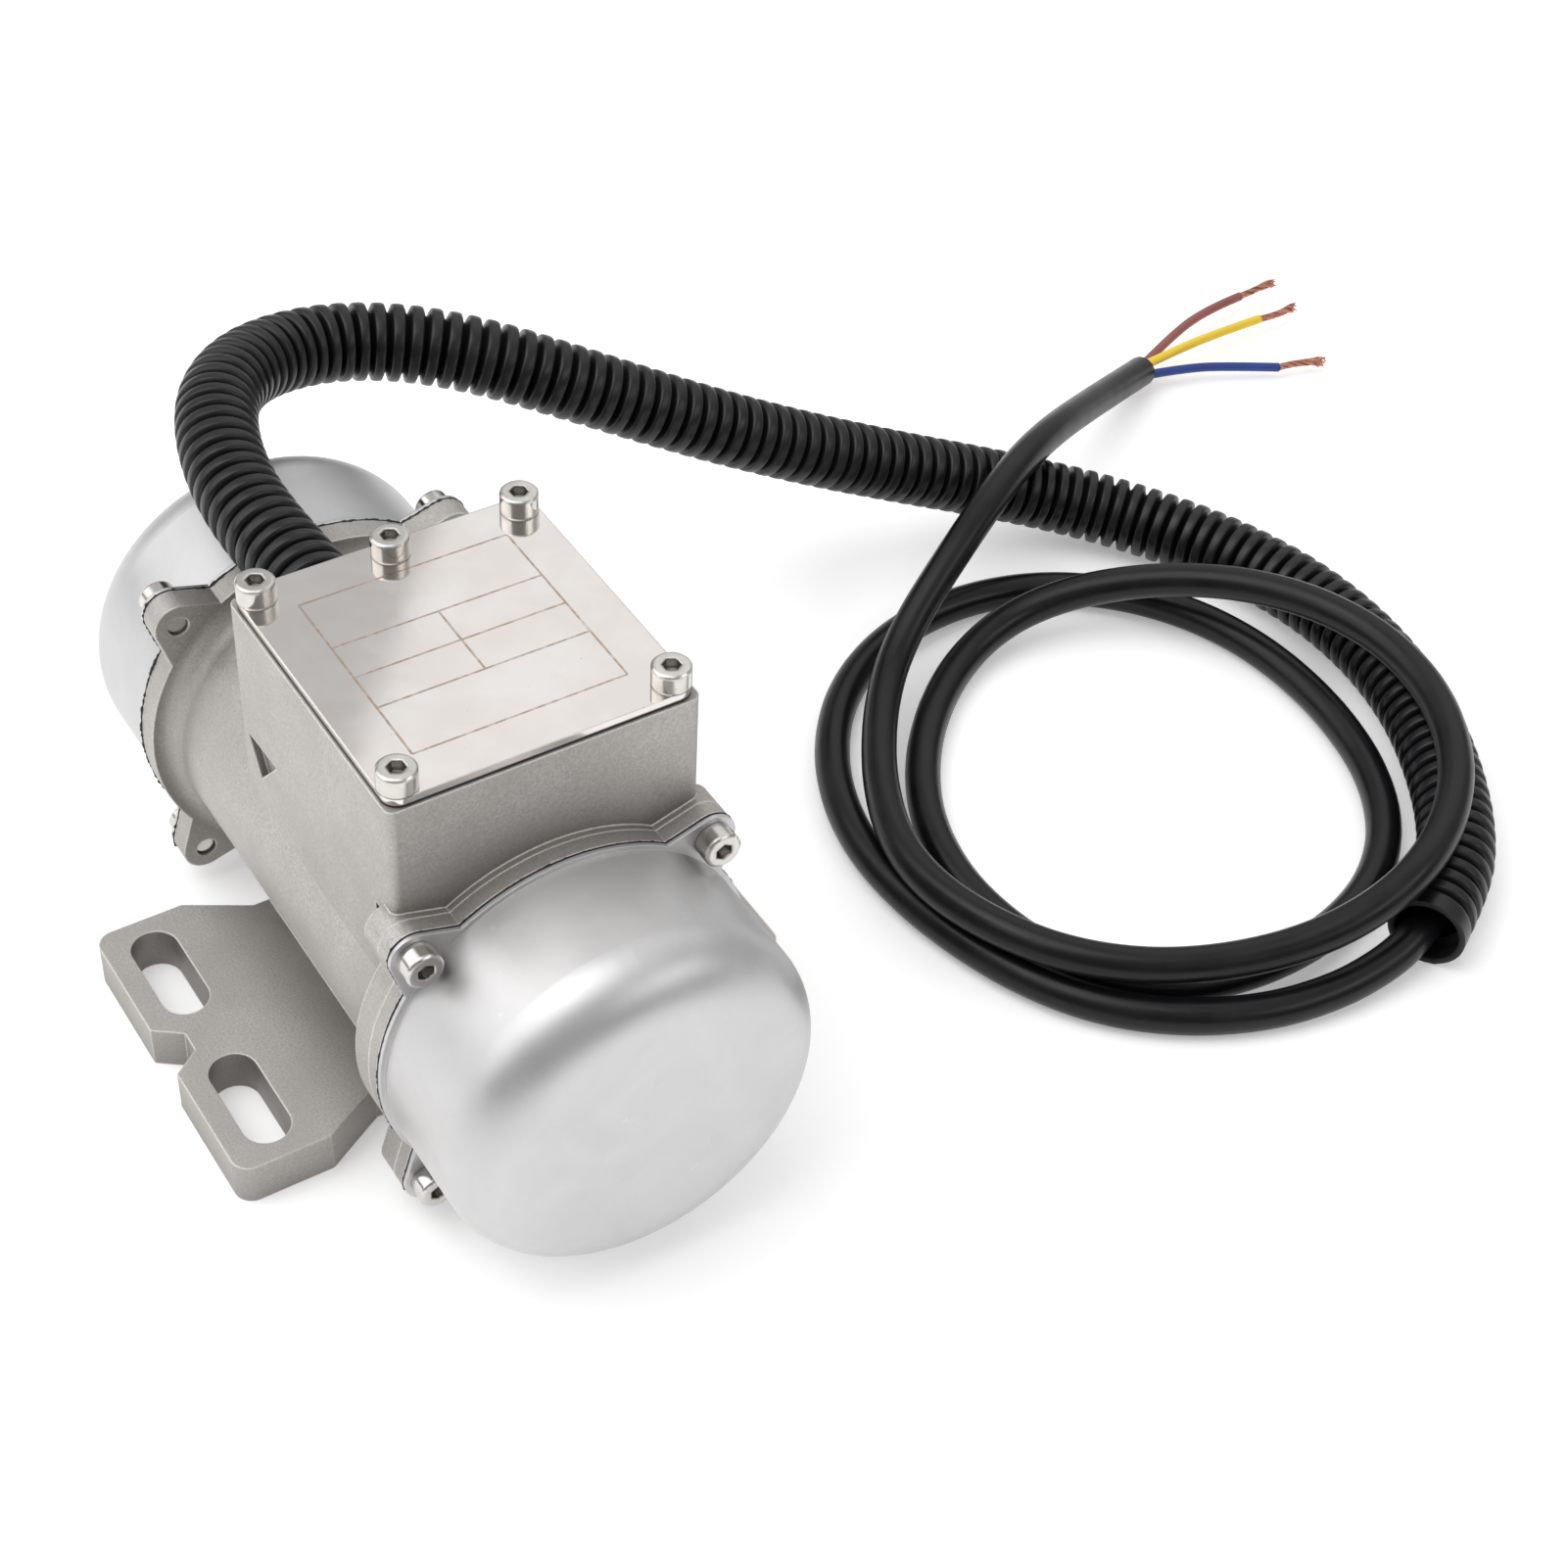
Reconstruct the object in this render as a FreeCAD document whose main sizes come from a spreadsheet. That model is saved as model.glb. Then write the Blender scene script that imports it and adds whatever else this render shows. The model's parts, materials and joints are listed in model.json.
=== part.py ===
import FreeCAD, Part
import math
import os
import Sketcher

Vector = FreeCAD.Vector
Rotation = FreeCAD.Rotation
Placement = FreeCAD.Placement

# Small external vibration motor: millimetres, +Z up, shaft along X with the front cap at +X,
# feet on z = 0, origin under the middle of the motor.

SIZES = {
    # round casting, measured about the shaft axis
    "barrel_radius": 31.5,
    "barrel_wall": 4,
    "flange_step": 4.7,
    "ground_clearance": 1.8,
    "flange_thickness": 5,
    "flange_root_fillet": 4,
    "seam_distance": 49.4,
    "shield_thickness": 3.1,
    "spigot_length": 3,
    "hub_wall": 4,
    "shoulder_thickness": 1,
    "shoulder_height": 2,
    # ears and their screws
    "screw_circle_overhang": 3.8,
    "ear_tip_radius": 4.6,
    "ear_flank_angle": 28,
    # caps
    "gasket_thickness": 0.4,
    "sheet_thickness": 0.8,
    "cap_end_clearance": 4.2,
    "lip_step": 0.9,
    "cap_corner_radius": 11,
    # junction box
    "box_rear": 15.7,
    "box_front_gap": 1.5,
    "box_half_width": 29,
    "box_depth": 21.3,
    "box_wall": 4,
    "box_floor_thickness": 3,
    "box_corner_radius": 1.6,
    "recess_depth": 1.6,
    "recess_inset": 3,
    "recess_drop": 27,
    "recess_length": 11.9,
    "recess_height": 8.6,
    "recess_lean": 0.8,
    "recess_low_run": 4.3,
    "nick_inset": 7,
    "nick_drop": 25.4,
    "nick_size": 1.9,
    "cover_thickness": 1.5,
    "cover_inset": 0.6,
    "cover_corner_radius": 3,
    "cover_screw_inset": 3.8,
    "post_radius": 3.7,
    "post_depth": 6,
    "inlet_y": 9.5,
    "inlet_height": 9.5,
    # feet
    "foot_thickness": 9,
    "foot_half_width": 56.6,
    "foot_half_length": 33,
    "foot_neck_half_width": 38.7,
    "foot_root_half_width": 26.8,
    "foot_corner_radius": 3.5,
    "pedestal_half_length": 26.2,
    "pedestal_half_width": 23.3,
    "relief_half_width": 17,
    "relief_depth": 2,
    "slot_end_margin": 3.75,
    "slot_side_margin": 9,
    "slot_width": 9,
    "slot_length": 23,
    "notch_half_width": 6.1,
    "notch_bottom_half_width": 2.3,
    "notch_depth": 5.2,
    # socket head cap screws
    "screw_head_radius": 3.5,
    "screw_head_height": 4,
    "screw_head_chamfer": 0.4,
    "screw_shank_radius": 2,
    "screw_end_recess": 0.7,
    "screw_socket_radius": 1.73,
    "screw_socket_depth": 2.2,
    "screw_clearance": 0.2,
    # stator and rotor
    "core_half_length": 20,
    "slot_count": 12,
    "stator_slot_width": 4,
    "slot_winding_margin": 1.5,
    "slot_end_turn_margin": 2,
    "air_gap_radius": 14.6,
    "winding_outer_clearance": 2.5,
    "winding_inner_clearance": 2.4,
    "winding_overhang": 11,
    "air_gap": 0.4,
    "end_ring_thickness": 3,
    "end_ring_inner_radius": 9.5,
    # shaft
    "shaft_radius": 6,
    "shaft_middle_radius": 7.5,
    "shaft_end_length": 1.7,
    "shaft_chamfer": 0.8,
    "circlip_groove_depth": 0.8,
    "circlip_radius": 8,
    "circlip_thickness": 1.2,
    # ball bearings
    "bearing_radius": 16,
    "bearing_width": 10,
    "race_thickness": 2.6,
    "ball_radius": 2.9,
    "ball_count": 7,
    "raceway_clearance": 0.2,
    "cage_half_thickness": 0.8,
    "cage_width": 8,
    "pocket_clearance": 0.1,
    "wave_washer_thickness": 0.8,
    # eccentric weights
    "weight_radius": 28,
    "weight_half_angle": 72,
    "weight_thickness": 10,
    "weight_shield_clearance": 3.6,
    "weight_hub_radius": 11,
    "weight_gap": 0.3,
    "weight_running_clearance": 0.05,
    "clamp_wall": 1.6,
    "lug_margin": 0.3,
    "clamp_slit_width": 2,
    # parts in the box
    "adapter_radius": 6.5,
    "adapter_bore_radius": 4.5,
    "locknut_radius": 7.6,
    "locknut_thickness": 3,
    "capacitor_radius": 8,
    "capacitor_length": 34,
    "terminal_start": -4,
    "terminal_length": 22,
    "terminal_width": 12,
    "terminal_height": 11,
    "lead_radius": 2,
    # cords
    "conduit_radius": 7.9,
    "conduit_bore_radius": 6,
    "conduit_bore_depth": 12,
    "cable_radius": 3.7,
    "core_wire_radius": 1.1,
    "strand_radius": 0.6,
}

doc = FreeCAD.newDocument("vibration_motor")
sizes = doc.addObject("Spreadsheet::Sheet", "sizes")
for row, (alias, number) in enumerate(SIZES.items(), start=1):
    sizes.set(f"A{row}", alias)
    sizes.set(f"B{row}", str(number))
    sizes.setAlias(f"B{row}", alias)
doc.recompute()

places = doc.addObject("App::VarSet", "places")


def bound(expression):
    """Write the expression with each bare size name taken from the sheet or from the places."""
    words = []
    word = ""
    for letter in expression + " ":
        if letter.isalnum() or letter in "_.":
            word += letter
            continue
        if word in SIZES:
            word = "sizes." + word
        elif word in places.PropertiesList:
            word = "places." + word
        words.append(word + letter)
        word = ""
    return "".join(words).strip()


def value(expression):
    return float(places.evalExpression(bound(str(expression))))


def place(name, expression):
    """Name a length that follows from the driving sizes."""
    text = bound(expression)
    places.addProperty("App::PropertyFloat", name, "places")
    places.setExpression(name, text)
    doc.recompute()


place("barrel_bore_radius", "barrel_radius - barrel_wall")
place("flange_radius", "barrel_radius + flange_step")
place("axis_height", "flange_radius + ground_clearance")
place("screw_circle_radius", "flange_radius + screw_circle_overhang")
place("cap_radius", "flange_radius - lip_step")
place("hub_radius", "bearing_radius + hub_wall")
place("shoulder_bore_radius", "bearing_radius - shoulder_height")
place("lip_face", "seam_distance + gasket_thickness + sheet_thickness")
place("front_flange_face", "seam_distance - shield_thickness")
place("shoulder_face", "seam_distance - shoulder_thickness")
place("front_bearing_inside", "shoulder_face - bearing_width")
place("rear_bearing_outside", "shoulder_face - wave_washer_thickness")
place("rear_bearing_inside", "rear_bearing_outside - bearing_width")
place("inner_ring_radius", "shaft_radius + race_thickness")
place("outer_ring_inner_radius", "bearing_radius - race_thickness")
place("ear_offset", "screw_circle_radius * cos(45 deg)")
place("ear_root_radius", "flange_radius - 1")
place("ear_reach", "screw_circle_radius - ear_root_radius")
place("ear_root_half_width",
      "ear_tip_radius / cos(ear_flank_angle * 1 deg) + ear_reach * tan(ear_flank_angle * 1 deg)")
place("ear_tangent_x", "screw_circle_radius + ear_tip_radius * sin(ear_flank_angle * 1 deg)")
place("ear_tangent_y", "ear_tip_radius * cos(ear_flank_angle * 1 deg)")
place("box_front", "front_flange_face - box_front_gap")
place("box_floor", "axis_height + barrel_radius + box_floor_thickness")
place("box_top", "box_floor + box_depth")
place("inlet_z", "box_floor + inlet_height")
place("cover_base", "box_top + gasket_thickness")
place("cover_top", "cover_base + cover_thickness")
place("pitch_radius", "(inner_ring_radius + outer_ring_inner_radius) / 2")
place("raceway_radius", "ball_radius + raceway_clearance")
place("weight_start", "seam_distance + weight_shield_clearance")
place("weight_middle", "weight_start + weight_thickness / 2")
place("outer_weight_start", "weight_start + weight_thickness + weight_gap")
place("outer_weight_middle", "outer_weight_start + weight_thickness / 2")
place("circlip_start", "outer_weight_start + weight_thickness + weight_gap")
place("shaft_end", "circlip_start + circlip_thickness + shaft_end_length")
place("cap_end", "shaft_end + cap_end_clearance + sheet_thickness")
place("circlip_groove_radius", "shaft_radius - circlip_groove_depth")
place("clamp_screw_height", "shaft_radius + clamp_wall + screw_shank_radius")
place("lug_height", "clamp_screw_height + screw_head_radius + lug_margin")
place("head_underside", "clamp_screw_height - screw_head_radius")
place("lug_half_width",
      "sqrt(weight_hub_radius * weight_hub_radius - head_underside * head_underside) + lug_margin")
place("rotor_radius", "air_gap_radius - air_gap")
place("winding_outer_radius", "barrel_bore_radius - winding_outer_clearance")
place("winding_inner_radius", "air_gap_radius + winding_inner_clearance")
place("stator_slot_radius", "winding_outer_radius - slot_end_turn_margin")
place("stator_slot_inner_radius", "winding_inner_radius + slot_winding_margin")
place("slot_spacing_x", "2 * (foot_half_length - slot_end_margin) - slot_length")
place("slot_spacing_y", "2 * (foot_half_width - slot_side_margin)")
place("cover_screw_x_rear", "-box_rear + cover_screw_inset")
place("cover_screw_x_front", "box_front - cover_screw_inset")
place("cover_screw_y", "box_half_width - cover_screw_inset")


# ---------------------------------------------------------------- building helpers

def origin_feature(body, role):
    return [item for item in body.Origin.OriginFeatures if item.Role == role][0]


def new_body(label, x="0", y="0", z="0"):
    """A body whose own origin sits at the given place."""
    body = doc.addObject("PartDesign::Body", label)
    body.Label = label
    body.setExpression("Placement.Base.x", bound(x))
    body.setExpression("Placement.Base.y", bound(y))
    body.setExpression("Placement.Base.z", bound(z))
    return body


def new_sketch(body, name, role="YZ_Plane", offset="0", turn=0):
    """A sketch on an origin plane, moved along its normal and turned about it."""
    sketch = body.newObject("Sketcher::SketchObject", name)
    sketch.AttachmentSupport = [(origin_feature(body, role), "")]
    sketch.MapMode = "FlatFace"
    sketch.AttachmentOffset = Placement(Vector(), Rotation(Vector(0, 0, 1), turn))
    sketch.setExpression("AttachmentOffset.Base.z", bound(offset))
    return sketch


def fix_point(sketch, geometry, end, x, y):
    """Bind one point of a sketch to two expressions."""
    for kind, expression in (("DistanceX", x), ("DistanceY", y)):
        number = sketch.addConstraint(Sketcher.Constraint(kind, -1, 1, geometry, end, value(expression)))
        sketch.setExpression(f"Constraints[{number}]", bound(expression))


def circle(sketch, radius, x="0", y="0"):
    centre = Vector(value(x), value(y), 0)
    number = sketch.addGeometry(Part.Circle(centre, Vector(0, 0, 1), value(radius)), False)
    fix_point(sketch, number, 3, x, y)
    limit = sketch.addConstraint(Sketcher.Constraint("Radius", number, value(radius)))
    sketch.setExpression(f"Constraints[{limit}]", bound(radius))


def arc_between(start, end, radius):
    """The shorter arc from start to end, counter-clockwise where the radius is above zero."""
    chord = end - start
    height = math.sqrt(max(radius * radius - chord.Length ** 2 / 4, 0))
    side = Vector(-chord.y, chord.x, 0).normalize() * (height if radius > 0 else -height)
    centre = (start + end) / 2 + side
    first = math.atan2(start.y - centre.y, start.x - centre.x)
    last = math.atan2(end.y - centre.y, end.x - centre.x)
    if radius < 0:
        first, last = last, first
    return Part.ArcOfCircle(Part.Circle(centre, Vector(0, 0, 1), abs(radius)), first, last)


def outline(sketch, points):
    """A closed outline. A third entry is the radius of the arc that leads to that point."""
    corners = [Vector(value(point[0]), value(point[1]), 0) for point in points]
    count = len(points)
    edges = []
    for index, point in enumerate(points):
        start = corners[index - 1]
        end = corners[index]
        if len(point) == 3:
            radius = value(point[2])
            number = sketch.addGeometry(arc_between(start, end, radius), False)
            edges.append((number, (1, 2) if radius > 0 else (2, 1)))
            limit = sketch.addConstraint(Sketcher.Constraint("Radius", number, abs(radius)))
            sketch.setExpression(f"Constraints[{limit}]", bound(f"abs({point[2]})"))
        else:
            number = sketch.addGeometry(Part.LineSegment(start, end), False)
            edges.append((number, (1, 2)))
    for index, point in enumerate(points):
        here, ends = edges[index]
        following, next_ends = edges[(index + 1) % count]
        sketch.addConstraint(Sketcher.Constraint("Coincident", here, ends[1], following, next_ends[0]))
        fix_point(sketch, here, ends[1], point[0], point[1])


def rounded_rectangle(sketch, x_low, x_high, y_low, y_high, radius):
    outline(sketch, [
        (f"{x_high} - {radius}", y_low),
        (x_high, f"{y_low} + {radius}", radius),
        (x_high, f"{y_high} - {radius}"),
        (f"{x_high} - {radius}", y_high, radius),
        (f"{x_low} + {radius}", y_high),
        (x_low, f"{y_high} - {radius}", radius),
        (x_low, f"{y_low} + {radius}"),
        (f"{x_low} + {radius}", y_low, radius),
    ])


def slot_outline(sketch, x, y, half_run, radius):
    outline(sketch, [
        (f"{x} + {half_run}", f"{y} - {radius}"),
        (f"{x} + {half_run} + {radius}", y, radius),
        (f"{x} + {half_run}", f"{y} + {radius}", radius),
        (f"{x} - {half_run}", f"{y} + {radius}"),
        (f"{x} - {half_run} - {radius}", y, radius),
        (f"{x} - {half_run}", f"{y} - {radius}", radius),
    ])


def solid_of(body):
    doc.recompute()
    return body.Shape


def pad(body, name, sketch, length, reverse=False):
    feature = body.newObject("PartDesign::Pad", name)
    feature.Profile = sketch
    feature.Reversed = reverse
    feature.setExpression("Length", bound(length))
    doc.recompute()
    return feature


def pocket(body, name, sketch, length, reverse=False):
    """Cut to a depth; the volume has to fall, or the direction is wrong."""
    before = solid_of(body).Volume
    feature = body.newObject("PartDesign::Pocket", name)
    feature.Profile = sketch
    feature.Reversed = reverse
    feature.setExpression("Length", bound(length))
    if solid_of(body).Volume >= before:
        raise RuntimeError(f"{name} cuts nothing")
    return feature


def turned(body, name, points, role="XZ_Plane"):
    """A solid of revolution about X. Points are (x, radius)."""
    sketch = new_sketch(body, name + "_profile", role)
    outline(sketch, points)
    feature = body.newObject("PartDesign::Revolution", name)
    feature.Profile = sketch
    feature.ReferenceAxis = (origin_feature(body, "X_Axis"), [""])
    feature.Angle = 360
    doc.recompute()
    return feature


def grooved(body, name, points, role="XZ_Plane"):
    """A turned cut about X; the volume has to fall."""
    before = solid_of(body).Volume
    sketch = new_sketch(body, name + "_profile", role)
    outline(sketch, points)
    feature = body.newObject("PartDesign::Groove", name)
    feature.Profile = sketch
    feature.ReferenceAxis = (origin_feature(body, "X_Axis"), [""])
    feature.Angle = 360
    if solid_of(body).Volume >= before:
        raise RuntimeError(f"{name} cuts nothing")
    return feature


def around(body, name, features, count):
    """Repeat features about the X axis."""
    pattern = body.newObject("PartDesign::PolarPattern", name)
    pattern.Originals = features
    pattern.Axis = (origin_feature(body, "X_Axis"), [""])
    pattern.Angle = 360
    pattern.setExpression("Occurrences", bound(count))
    body.Tip = pattern
    doc.recompute()
    return pattern


def mirrored(body, name, features, role):
    mirror = body.newObject("PartDesign::Mirrored", name)
    mirror.Originals = features
    mirror.MirrorPlane = (origin_feature(body, role), [""])
    body.Tip = mirror
    doc.recompute()
    return mirror


def add_ears(body, name, start, thickness):
    """Four tapered ears that carry the screws."""
    flank = new_sketch(body, name + "_flank", offset=start, turn=45)
    outline(flank, [
        ("ear_root_radius - ear_tip_radius", "-ear_root_half_width"),
        ("ear_root_radius", "-ear_root_half_width"),
        ("ear_tangent_x", "-ear_tangent_y"),
        ("ear_tangent_x", "ear_tangent_y"),
        ("ear_root_radius", "ear_root_half_width"),
        ("ear_root_radius - ear_tip_radius", "ear_root_half_width"),
    ])
    web = pad(body, name + "_web", flank, thickness)
    tip_sketch = new_sketch(body, name + "_tip_circle", offset=start, turn=45)
    circle(tip_sketch, "ear_tip_radius", "screw_circle_radius")
    tip = pad(body, name + "_tip", tip_sketch, thickness)
    around(body, name + "_ears", [web, tip], "4")


def drill_ears(body, name, start, thickness, radius):
    sketch = new_sketch(body, name + "_circle", offset=start, turn=45)
    circle(sketch, radius, "screw_circle_radius")
    hole = pocket(body, name, sketch, thickness, reverse=True)
    around(body, name + "_holes", [hole], "4")


# ---------------------------------------------------------------- housing and shield

COVER_SCREW_PLACES = [
    ("cover_screw_x_rear", "-cover_screw_y"),
    ("cover_screw_x_rear", "0"),
    ("cover_screw_x_rear", "cover_screw_y"),
    ("cover_screw_x_front", "-cover_screw_y"),
    ("cover_screw_x_front", "cover_screw_y"),
]
EARTH_SCREW_PLACE = ("box_front - 2 * box_wall", "0")
SIDE_RECESSES = [
    [
        ("recess_inset - box_rear", "box_top - recess_drop - recess_lean"),
        ("recess_inset - box_rear + recess_low_run", "box_top - recess_drop - recess_height"),
        ("recess_inset - box_rear + recess_length", "box_top - recess_drop"),
    ],
    [
        ("box_front - nick_inset", "box_top - nick_drop"),
        ("box_front - nick_inset", "box_top - nick_drop - nick_size"),
        ("box_front - nick_inset + nick_size", "box_top - nick_drop"),
    ],
]


def make_housing():
    body = new_body("housing", z="axis_height")
    turned(body, "barrel", [
        ("-seam_distance", "0"),
        ("-seam_distance", "flange_radius"),
        ("-seam_distance + flange_thickness", "flange_radius"),
        ("-seam_distance + flange_thickness", "barrel_radius + flange_root_fillet"),
        ("-seam_distance + flange_thickness + flange_root_fillet", "barrel_radius", "flange_root_fillet"),
        ("front_flange_face - flange_thickness - flange_root_fillet", "barrel_radius"),
        ("front_flange_face - flange_thickness", "barrel_radius + flange_root_fillet", "flange_root_fillet"),
        ("front_flange_face - flange_thickness", "flange_radius"),
        ("front_flange_face", "flange_radius"),
        ("front_flange_face", "0"),
    ])
    add_ears(body, "rear", "-seam_distance", "flange_thickness")
    add_ears(body, "front", "front_flange_face - flange_thickness", "flange_thickness")

    box = new_sketch(body, "box_outline", "XY_Plane")
    rounded_rectangle(box, "-box_rear", "box_front", "-box_half_width", "box_half_width",
                      "box_corner_radius")
    pad(body, "box", box, "box_top - axis_height")

    pedestal = new_sketch(body, "pedestal_outline", "XY_Plane", "-axis_height")
    outline(pedestal, [
        ("-pedestal_half_length", "-pedestal_half_width"),
        ("pedestal_half_length", "-pedestal_half_width"),
        ("pedestal_half_length", "pedestal_half_width"),
        ("-pedestal_half_length", "pedestal_half_width"),
    ])
    pad(body, "pedestal", pedestal, "axis_height")

    foot = new_sketch(body, "foot_outline", "XY_Plane", "-axis_height")
    corner = "foot_corner_radius"
    outline(foot, [
        ("-pedestal_half_length", "0"),
        ("-pedestal_half_length", "-foot_root_half_width"),
        ("-foot_half_length", "-foot_neck_half_width"),
        ("-foot_half_length", f"-foot_half_width + {corner}"),
        (f"-foot_half_length + {corner}", "-foot_half_width", corner),
        ("-notch_half_width", "-foot_half_width"),
        ("-notch_bottom_half_width", "-foot_half_width + notch_depth"),
        ("notch_bottom_half_width", "-foot_half_width + notch_depth"),
        ("notch_half_width", "-foot_half_width"),
        (f"foot_half_length - {corner}", "-foot_half_width"),
        ("foot_half_length", f"-foot_half_width + {corner}", corner),
        ("foot_half_length", "-foot_neck_half_width"),
        ("pedestal_half_length", "-foot_root_half_width"),
        ("pedestal_half_length", "0"),
    ])
    foot_plate = pad(body, "foot_plate", foot, "foot_thickness")
    mirrored(body, "other_foot", [foot_plate], "XZ_Plane")

    slots = new_sketch(body, "slot_outlines", "XY_Plane", "-axis_height")
    for x_side in ("-", ""):
        for y_side in ("-", ""):
            slot_outline(slots, f"{x_side}slot_spacing_x / 2", f"{y_side}slot_spacing_y / 2",
                         "(slot_length - slot_width) / 2", "slot_width / 2")
    pocket(body, "slots", slots, "foot_thickness", reverse=True)

    relief = new_sketch(body, "relief_outline", "XY_Plane", "-axis_height")
    outline(relief, [
        ("-foot_half_length", "-relief_half_width"),
        ("foot_half_length", "-relief_half_width"),
        ("foot_half_length", "relief_half_width"),
        ("-foot_half_length", "relief_half_width"),
    ])
    pocket(body, "relief", relief, "relief_depth", reverse=True)

    grooved(body, "bore", [
        ("front_flange_face", "0"),
        ("front_flange_face", "barrel_bore_radius"),
        ("-seam_distance + flange_thickness", "barrel_bore_radius"),
        ("-seam_distance + flange_thickness", "hub_radius"),
        ("-rear_bearing_inside", "hub_radius"),
        ("-rear_bearing_inside", "bearing_radius"),
        ("-shoulder_face", "bearing_radius"),
        ("-shoulder_face", "shoulder_bore_radius"),
        ("-seam_distance", "shoulder_bore_radius"),
        ("-seam_distance", "0"),
    ])

    cavity = new_sketch(body, "cavity_outline", "XY_Plane", "box_floor - axis_height")
    rounded_rectangle(cavity, "-box_rear + box_wall", "box_front - box_wall",
                      "-box_half_width + box_wall", "box_half_width - box_wall", "box_corner_radius")
    pocket(body, "cavity", cavity, "box_top - box_floor", reverse=True)

    posts = new_sketch(body, "post_circles", "XY_Plane", "box_top - post_depth - axis_height")
    for x, y in COVER_SCREW_PLACES:
        circle(posts, "post_radius", x, y)
    pad(body, "posts", posts, "post_depth")
    taps = new_sketch(body, "tap_circles", "XY_Plane", "box_top - post_depth - axis_height")
    for x, y in COVER_SCREW_PLACES:
        circle(taps, "screw_shank_radius", x, y)
    pocket(body, "taps", taps, "post_depth", reverse=True)

    lead_hole = new_sketch(body, "lead_hole_circle", "XY_Plane", "0")
    circle(lead_hole, "lead_radius + screw_clearance", "core_half_length + winding_overhang / 2")
    pocket(body, "lead_hole", lead_hole, "box_floor - axis_height", reverse=True)

    inlet = new_sketch(body, "inlet_circle", "YZ_Plane", "-box_rear")
    circle(inlet, "adapter_radius", "-inlet_y", "inlet_z - axis_height")
    pocket(body, "inlet", inlet, "box_wall", reverse=True)

    earth = new_sketch(body, "earth_circle", "XY_Plane", "box_floor - post_depth / 2 - axis_height")
    circle(earth, "screw_shank_radius", *EARTH_SCREW_PLACE)
    pocket(body, "earth_tap", earth, "post_depth / 2", reverse=True)

    side_recess = new_sketch(body, "recess_triangles", "XZ_Plane", "box_half_width - recess_depth")
    for triangle in SIDE_RECESSES:
        outline(side_recess, [(x, f"{z} - axis_height") for x, z in triangle])
    recess = pocket(body, "recess", side_recess, "recess_depth", reverse=True)
    mirrored(body, "recess_pair", [recess], "XZ_Plane")

    drill_ears(body, "rear_tap", "-seam_distance", "flange_thickness", "screw_shank_radius")
    drill_ears(body, "front_tap", "front_flange_face - flange_thickness", "flange_thickness",
               "screw_shank_radius")


def make_front_end_shield():
    body = new_body("front_end_shield", z="axis_height")
    turned(body, "shield_disc", [
        ("seam_distance", "shoulder_bore_radius"),
        ("seam_distance", "flange_radius"),
        ("front_flange_face", "flange_radius"),
        ("front_flange_face", "barrel_bore_radius"),
        ("front_flange_face - spigot_length", "barrel_bore_radius"),
        ("front_flange_face - spigot_length", "barrel_bore_radius - spigot_length"),
        ("front_flange_face", "barrel_bore_radius - spigot_length"),
        ("front_flange_face", "hub_radius"),
        ("front_bearing_inside", "hub_radius"),
        ("front_bearing_inside", "bearing_radius"),
        ("shoulder_face", "bearing_radius"),
        ("shoulder_face", "shoulder_bore_radius"),
    ])
    add_ears(body, "shield", "front_flange_face", "shield_thickness")
    drill_ears(body, "shield_hole", "front_flange_face", "shield_thickness", "screw_shank_radius")


# ---------------------------------------------------------------- caps and their seals

def make_cap(label):
    """Drawn cup with an eared lip; modelled at the front and turned round for the rear."""
    body = new_body(label, z="axis_height")
    turned(body, "lip", [
        ("lip_face - sheet_thickness", "cap_radius - sheet_thickness"),
        ("lip_face - sheet_thickness", "flange_radius"),
        ("lip_face", "flange_radius"),
        ("lip_face", "cap_radius - sheet_thickness"),
    ])
    add_ears(body, "lip", "lip_face - sheet_thickness", "sheet_thickness")
    drill_ears(body, "lip_hole", "lip_face - sheet_thickness", "sheet_thickness",
               "screw_shank_radius + screw_clearance")
    turned(body, "cup", [
        ("lip_face - sheet_thickness / 2", "cap_radius - sheet_thickness"),
        ("lip_face - sheet_thickness / 2", "cap_radius"),
        ("cap_end - cap_corner_radius", "cap_radius"),
        ("cap_end", "cap_radius - cap_corner_radius", "-cap_corner_radius"),
        ("cap_end", "0"),
        ("cap_end - sheet_thickness", "0"),
        ("cap_end - sheet_thickness", "cap_radius - cap_corner_radius"),
        ("cap_end - cap_corner_radius", "cap_radius - sheet_thickness",
         "cap_corner_radius - sheet_thickness"),
    ])
    return body


def make_cap_gasket(label):
    body = new_body(label, z="axis_height")
    turned(body, "seal", [
        ("seam_distance", "cap_radius - sheet_thickness"),
        ("seam_distance", "flange_radius"),
        ("seam_distance + gasket_thickness", "flange_radius"),
        ("seam_distance + gasket_thickness", "cap_radius - sheet_thickness"),
    ])
    add_ears(body, "seal", "seam_distance", "gasket_thickness")
    drill_ears(body, "seal_hole", "seam_distance", "gasket_thickness",
               "screw_shank_radius + screw_clearance")
    return body


def turn_to_rear(body):
    body.Placement = Placement(body.Placement.Base, Rotation(Vector(0, 0, 1), 180))


# ---------------------------------------------------------------- cap screws

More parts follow.
